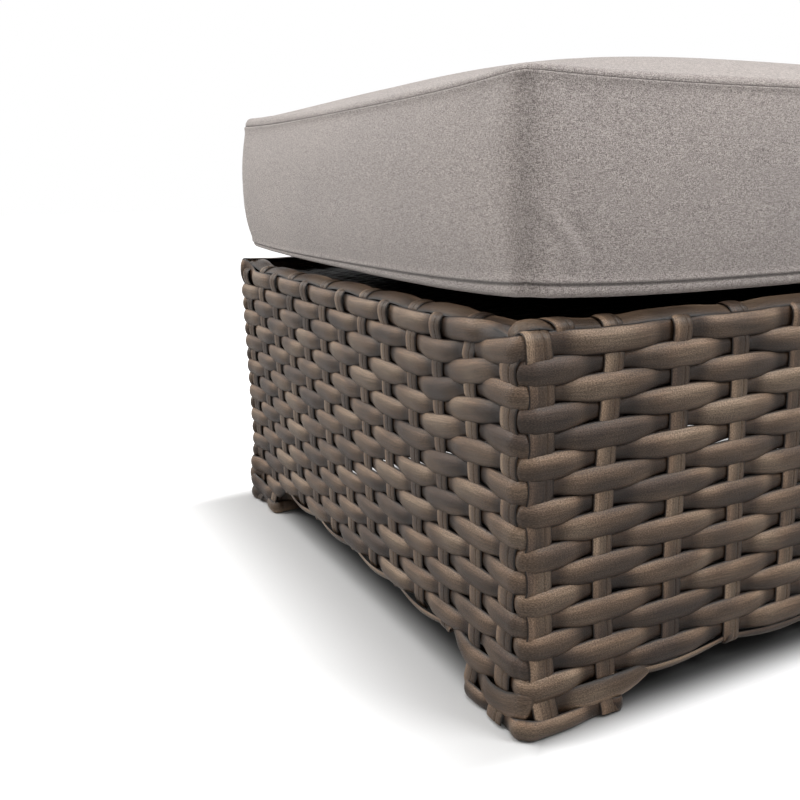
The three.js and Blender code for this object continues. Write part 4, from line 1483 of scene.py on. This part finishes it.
def build_zip_flap(side, name):
    """The turned edge of the boxing over one tape."""
    x = np.linspace(-zip_half - 1, zip_half + 1, 120)
    vertices, faces = [], []
    n = len(FLAP_SECTION)
    for i, xi in enumerate(x):
        share = abs(xi) / (CUSHION_HALF - CUSHION_CORNER)
        fall = 1.5 * min(1, share) ** 8
        for dz, y in FLAP_SECTION:
            vertices.append((xi, y - fall * (y > 299), zip_middle + side * dz))
    for i in range(len(x) - 1):
        for j in range(n):
            a, b = i * n + j, i * n + (j + 1) % n
            faces.append((a, b, b + n, a + n))
    faces.append(tuple(range(n))[::-1])
    faces.append(tuple((len(x) - 1) * n + j for j in range(n)))
    piece = mesh_object(name, np.array(vertices) * MM, faces)
    keep_values(piece, "from_seam", [dz - FLAP_STITCH for dz, _ in FLAP_SECTION] * len(x))
    face_outwards(piece)
    smooth_by_angle(piece, 50)
    piece.data.materials.append(fabric)
    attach(piece, "cushion")
    return piece


def add_block(name, low, high, bevel):
    """A block with eased edges between two corners, mm."""
    deselect_all()
    bpy.ops.mesh.primitive_cube_add(size=1, location=[(a + b) / 2 * MM for a, b in zip(low, high)],
                                    scale=[(b - a) * MM for a, b in zip(low, high)])
    piece = bpy.context.object
    piece.name = name
    bpy.ops.object.transform_apply(location=True, rotation=True, scale=True)
    bpy.ops.object.mode_set(mode="EDIT")
    bpy.ops.mesh.select_all(action="SELECT")
    bpy.ops.mesh.bevel(offset=bevel * MM, segments=2)
    bpy.ops.object.mode_set(mode="OBJECT")
    return piece


TAPE_WIDTH = 12.0
TAPE_THICKNESS = 0.8
COIL_PITCH = 1.6
COIL_THICKNESS = 0.7
COIL_DEPTHS = (298.3, 299.0)


def build_zip_tape(side, name):
    """One tape with its own row of coil turns along the middle of the slot, half a pitch from the
    other tape's."""
    near, far = sorted((side * 0.1, side * TAPE_WIDTH))
    tape = add_block(name, (-zip_half, tape_low[1], zip_middle + near),
                     (zip_half, tape_low[1] + TAPE_THICKNESS, zip_middle + far), 0.2)
    reach = sorted((side * -0.6, side * 2.2))
    first = -zip_half + 2 + COIL_PITCH / 2 * (side > 0)
    turn = add_block(name + "_turn", (first, COIL_DEPTHS[0], zip_middle + reach[0]),
                     (first + COIL_THICKNESS, COIL_DEPTHS[1], zip_middle + reach[1]), 0.18)
    row = turn.modifiers.new("row", "ARRAY")
    row.use_relative_offset = False
    row.use_constant_offset = True
    row.constant_offset_displace = (COIL_PITCH * MM, 0, 0)
    row.count = int((2 * zip_half - 5) / COIL_PITCH)
    make_active(turn)
    bpy.ops.object.modifier_apply(modifier="row")
    deselect_all()
    turn.select_set(True)
    tape.select_set(True)
    bpy.context.view_layer.objects.active = tape
    bpy.ops.object.join()
    smooth_by_angle(tape, 40)
    tape.data.materials.append(tape_cloth)
    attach(tape, "cushion")
    return tape


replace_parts(build_zip_tape(1, "zip_tape_and_coil_upper"), "zip_tape_upper")
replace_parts(build_zip_tape(-1, "zip_tape_and_coil_lower"), "zip_tape_lower")
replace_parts(build_zip_flap(1, "zip_flap_upper"), "zip_boxing_upper")
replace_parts(build_zip_flap(-1, "zip_flap_lower"), "zip_boxing_lower")

# Floor, light and camera, in metres

# How the floor's glow and its colour to the camera fade near the body: a painted shadow and painted shade
WHITE_FROM = 0.215
HIGHEST_WHITE = 1.05
SIDEWAYS_FADE = 3.6
SIDEWAYS_SHIFT = 0.018
SHADE_REACH = (-0.016, 0.024)
SHADE_TONES = (0.08, 0.68)
AMBIENT_LIGHT = 0.09


def vector_math(material, operation, first, second=(0, 0, 0)):
    return add_node(material, "ShaderNodeVectorMath", {"operation": operation}, i0=first, i1=second)


def build_floor():
    """White to the camera far from the body. Within about 200 mm of the flanks its glow fades out,
    so the floor's own shadow there is shaped by that fade as painted shadow, and under the body its
    colour to the camera darkens to a painted shade."""
    deselect_all()
    bpy.ops.mesh.primitive_plane_add(size=30, location=(0, 0, 0))
    floor = bpy.context.object
    floor.name = "studio_floor"
    material, shader = new_material("white_studio_floor_with_painted_shadow", 0.9)
    shader.inputs["Specular IOR Level"].default_value = 0.1
    where = object_places(material)
    aside = vector_math(material, "ABSOLUTE", where).outputs[0]
    past = vector_math(material, "SUBTRACT", aside, (HALF * MM, HALF * MM, 0)).outputs[0]
    kept = vector_math(material, "MAXIMUM", past).outputs[0]
    scaled = vector_math(material, "MULTIPLY", kept, (1, SIDEWAYS_FADE, 0)).outputs[0]
    distance = vector_math(material, "LENGTH", scaled).outputs["Value"]
    # The glow rises from nothing at the body's edge to full white about 215 mm out, a painted shadow over the
    # floor's real one
    glow_beyond_painted_shadow = mapped(material, distance, 0.0, WHITE_FROM, 0.0, HIGHEST_WHITE)
    level = add_node(material, "ShaderNodeSeparateXYZ", Vector=past)
    beside = calculated(material, "ADD", level.outputs["X"], SIDEWAYS_SHIFT)
    inside = calculated(material, "MAXIMUM", beside, level.outputs["Y"])
    # The floor's colour to the camera darkens under the body and just past its edges as painted shade
    grey = mapped(material, inside, *SHADE_REACH, *SHADE_TONES)
    to_camera = add_node(material, "ShaderNodeLightPath").outputs["Is Camera Ray"]
    glow = add_node(material, "ShaderNodeEmission", Color=(1, 1, 1, 1), Strength=glow_beyond_painted_shadow)
    dark = add_node(material, "ShaderNodeEmission", Color=(0, 0, 0, 1), Strength=0.0)
    dress(material, shader, mixed_colour(material, to_camera, (0.62, 0.62, 0.62, 1), grey))
    seen = add_node(material, "ShaderNodeMixShader", i0=to_camera, i1=dark.outputs[0], i2=glow.outputs[0])
    both = add_node(material, "ShaderNodeAddShader", i0=shader.outputs[0], i1=seen.outputs[0])
    link(material, both.outputs[0], material.node_tree.nodes["Material Output"].inputs["Surface"])
    floor.data.materials.append(material)


def build_world():
    """Dim for the object's light, white where the camera sees it directly or in a gloss."""
    world = bpy.data.worlds.new("studio_world")
    bpy.context.scene.world = world
    world.use_nodes = True
    background = world.node_tree.nodes["Background"]
    path = add_node(world, "ShaderNodeLightPath").outputs
    seen = calculated(world, "MAXIMUM", path["Is Camera Ray"], path["Is Glossy Ray"])
    seen = calculated(world, "MAXIMUM", seen, path["Is Transmission Ray"])
    strength = mapped(world, seen, 0.0, 1.0, AMBIENT_LIGHT, 1.0, "LINEAR")
    link(world, strength, background.inputs["Strength"])
    background.inputs["Color"].default_value = (1, 1, 1, 1)


def add_softbox(name, place, target, size, power, colour=(1, 1, 1)):
    light = bpy.data.lights.new(name, "AREA")
    light.shape = "RECTANGLE"
    light.size, light.size_y = size
    light.energy = power
    light.color = colour
    lamp = bpy.data.objects.new(name, light)
    bpy.context.scene.collection.objects.link(lamp)
    lamp.location = place
    lamp.rotation_euler = (Vector(target) - Vector(place)).to_track_quat("-Z", "Y").to_euler()


build_floor()
build_world()
add_softbox("overhead_softbox", (-0.3, -0.3, 2.6), (0, 0, 0.2), (1.9, 1.9), 44)
add_softbox("left_softbox", (-2.0, 1.2, 1.9), (-0.2, 0, 0.25), (1.2, 1.2), 42, (1.0, 0.985, 0.965))
add_softbox("front_softbox", (1.0, -1.7, 2.1), (0.1, -0.2, 0.25), (1.1, 1.1), 38)
add_softbox("corner_softbox", (-1.5, -2.0, 1.9), (-0.2, -0.2, 0.25), (1.2, 1.2), 9)

IMAGE_SIZE = 800
SENSOR_WIDTH = 36
CAMERA_PLACE = Vector((-0.6024, -0.7814, 0.3714))
CAMERA_YAW = math.radians(60.5)
CAMERA_PITCH = math.radians(13.24)
CAMERA_ROLL = math.radians(1.03)
FOCAL_PIXELS = 931.09
CENTRE_PIXEL = (480.18, 401.34)


def build_camera():
    forward = Vector((math.cos(CAMERA_YAW) * math.cos(CAMERA_PITCH),
                      math.sin(CAMERA_YAW) * math.cos(CAMERA_PITCH), -math.sin(CAMERA_PITCH)))
    right = Vector((math.sin(CAMERA_YAW), -math.cos(CAMERA_YAW), 0))
    down = forward.cross(right)
    image_right = right * math.cos(CAMERA_ROLL) + down * math.sin(CAMERA_ROLL)
    image_down = -right * math.sin(CAMERA_ROLL) + down * math.cos(CAMERA_ROLL)
    data = bpy.data.cameras.new("photo_camera")
    data.sensor_fit = "HORIZONTAL"
    data.sensor_width = SENSOR_WIDTH
    data.lens = SENSOR_WIDTH * FOCAL_PIXELS / IMAGE_SIZE
    data.shift_x = -(CENTRE_PIXEL[0] - IMAGE_SIZE / 2) / IMAGE_SIZE
    data.shift_y = (CENTRE_PIXEL[1] - IMAGE_SIZE / 2) / IMAGE_SIZE
    data.clip_start = 0.02
    camera = bpy.data.objects.new("photo_camera", data)
    bpy.context.scene.collection.objects.link(camera)
    rotation = Matrix((image_right, -image_down, -forward)).transposed()
    camera.matrix_world = Matrix.Translation(CAMERA_PLACE) @ rotation.to_4x4()
    bpy.context.scene.camera = camera


build_camera()
bpy.context.scene.view_settings.view_transform = "Standard"
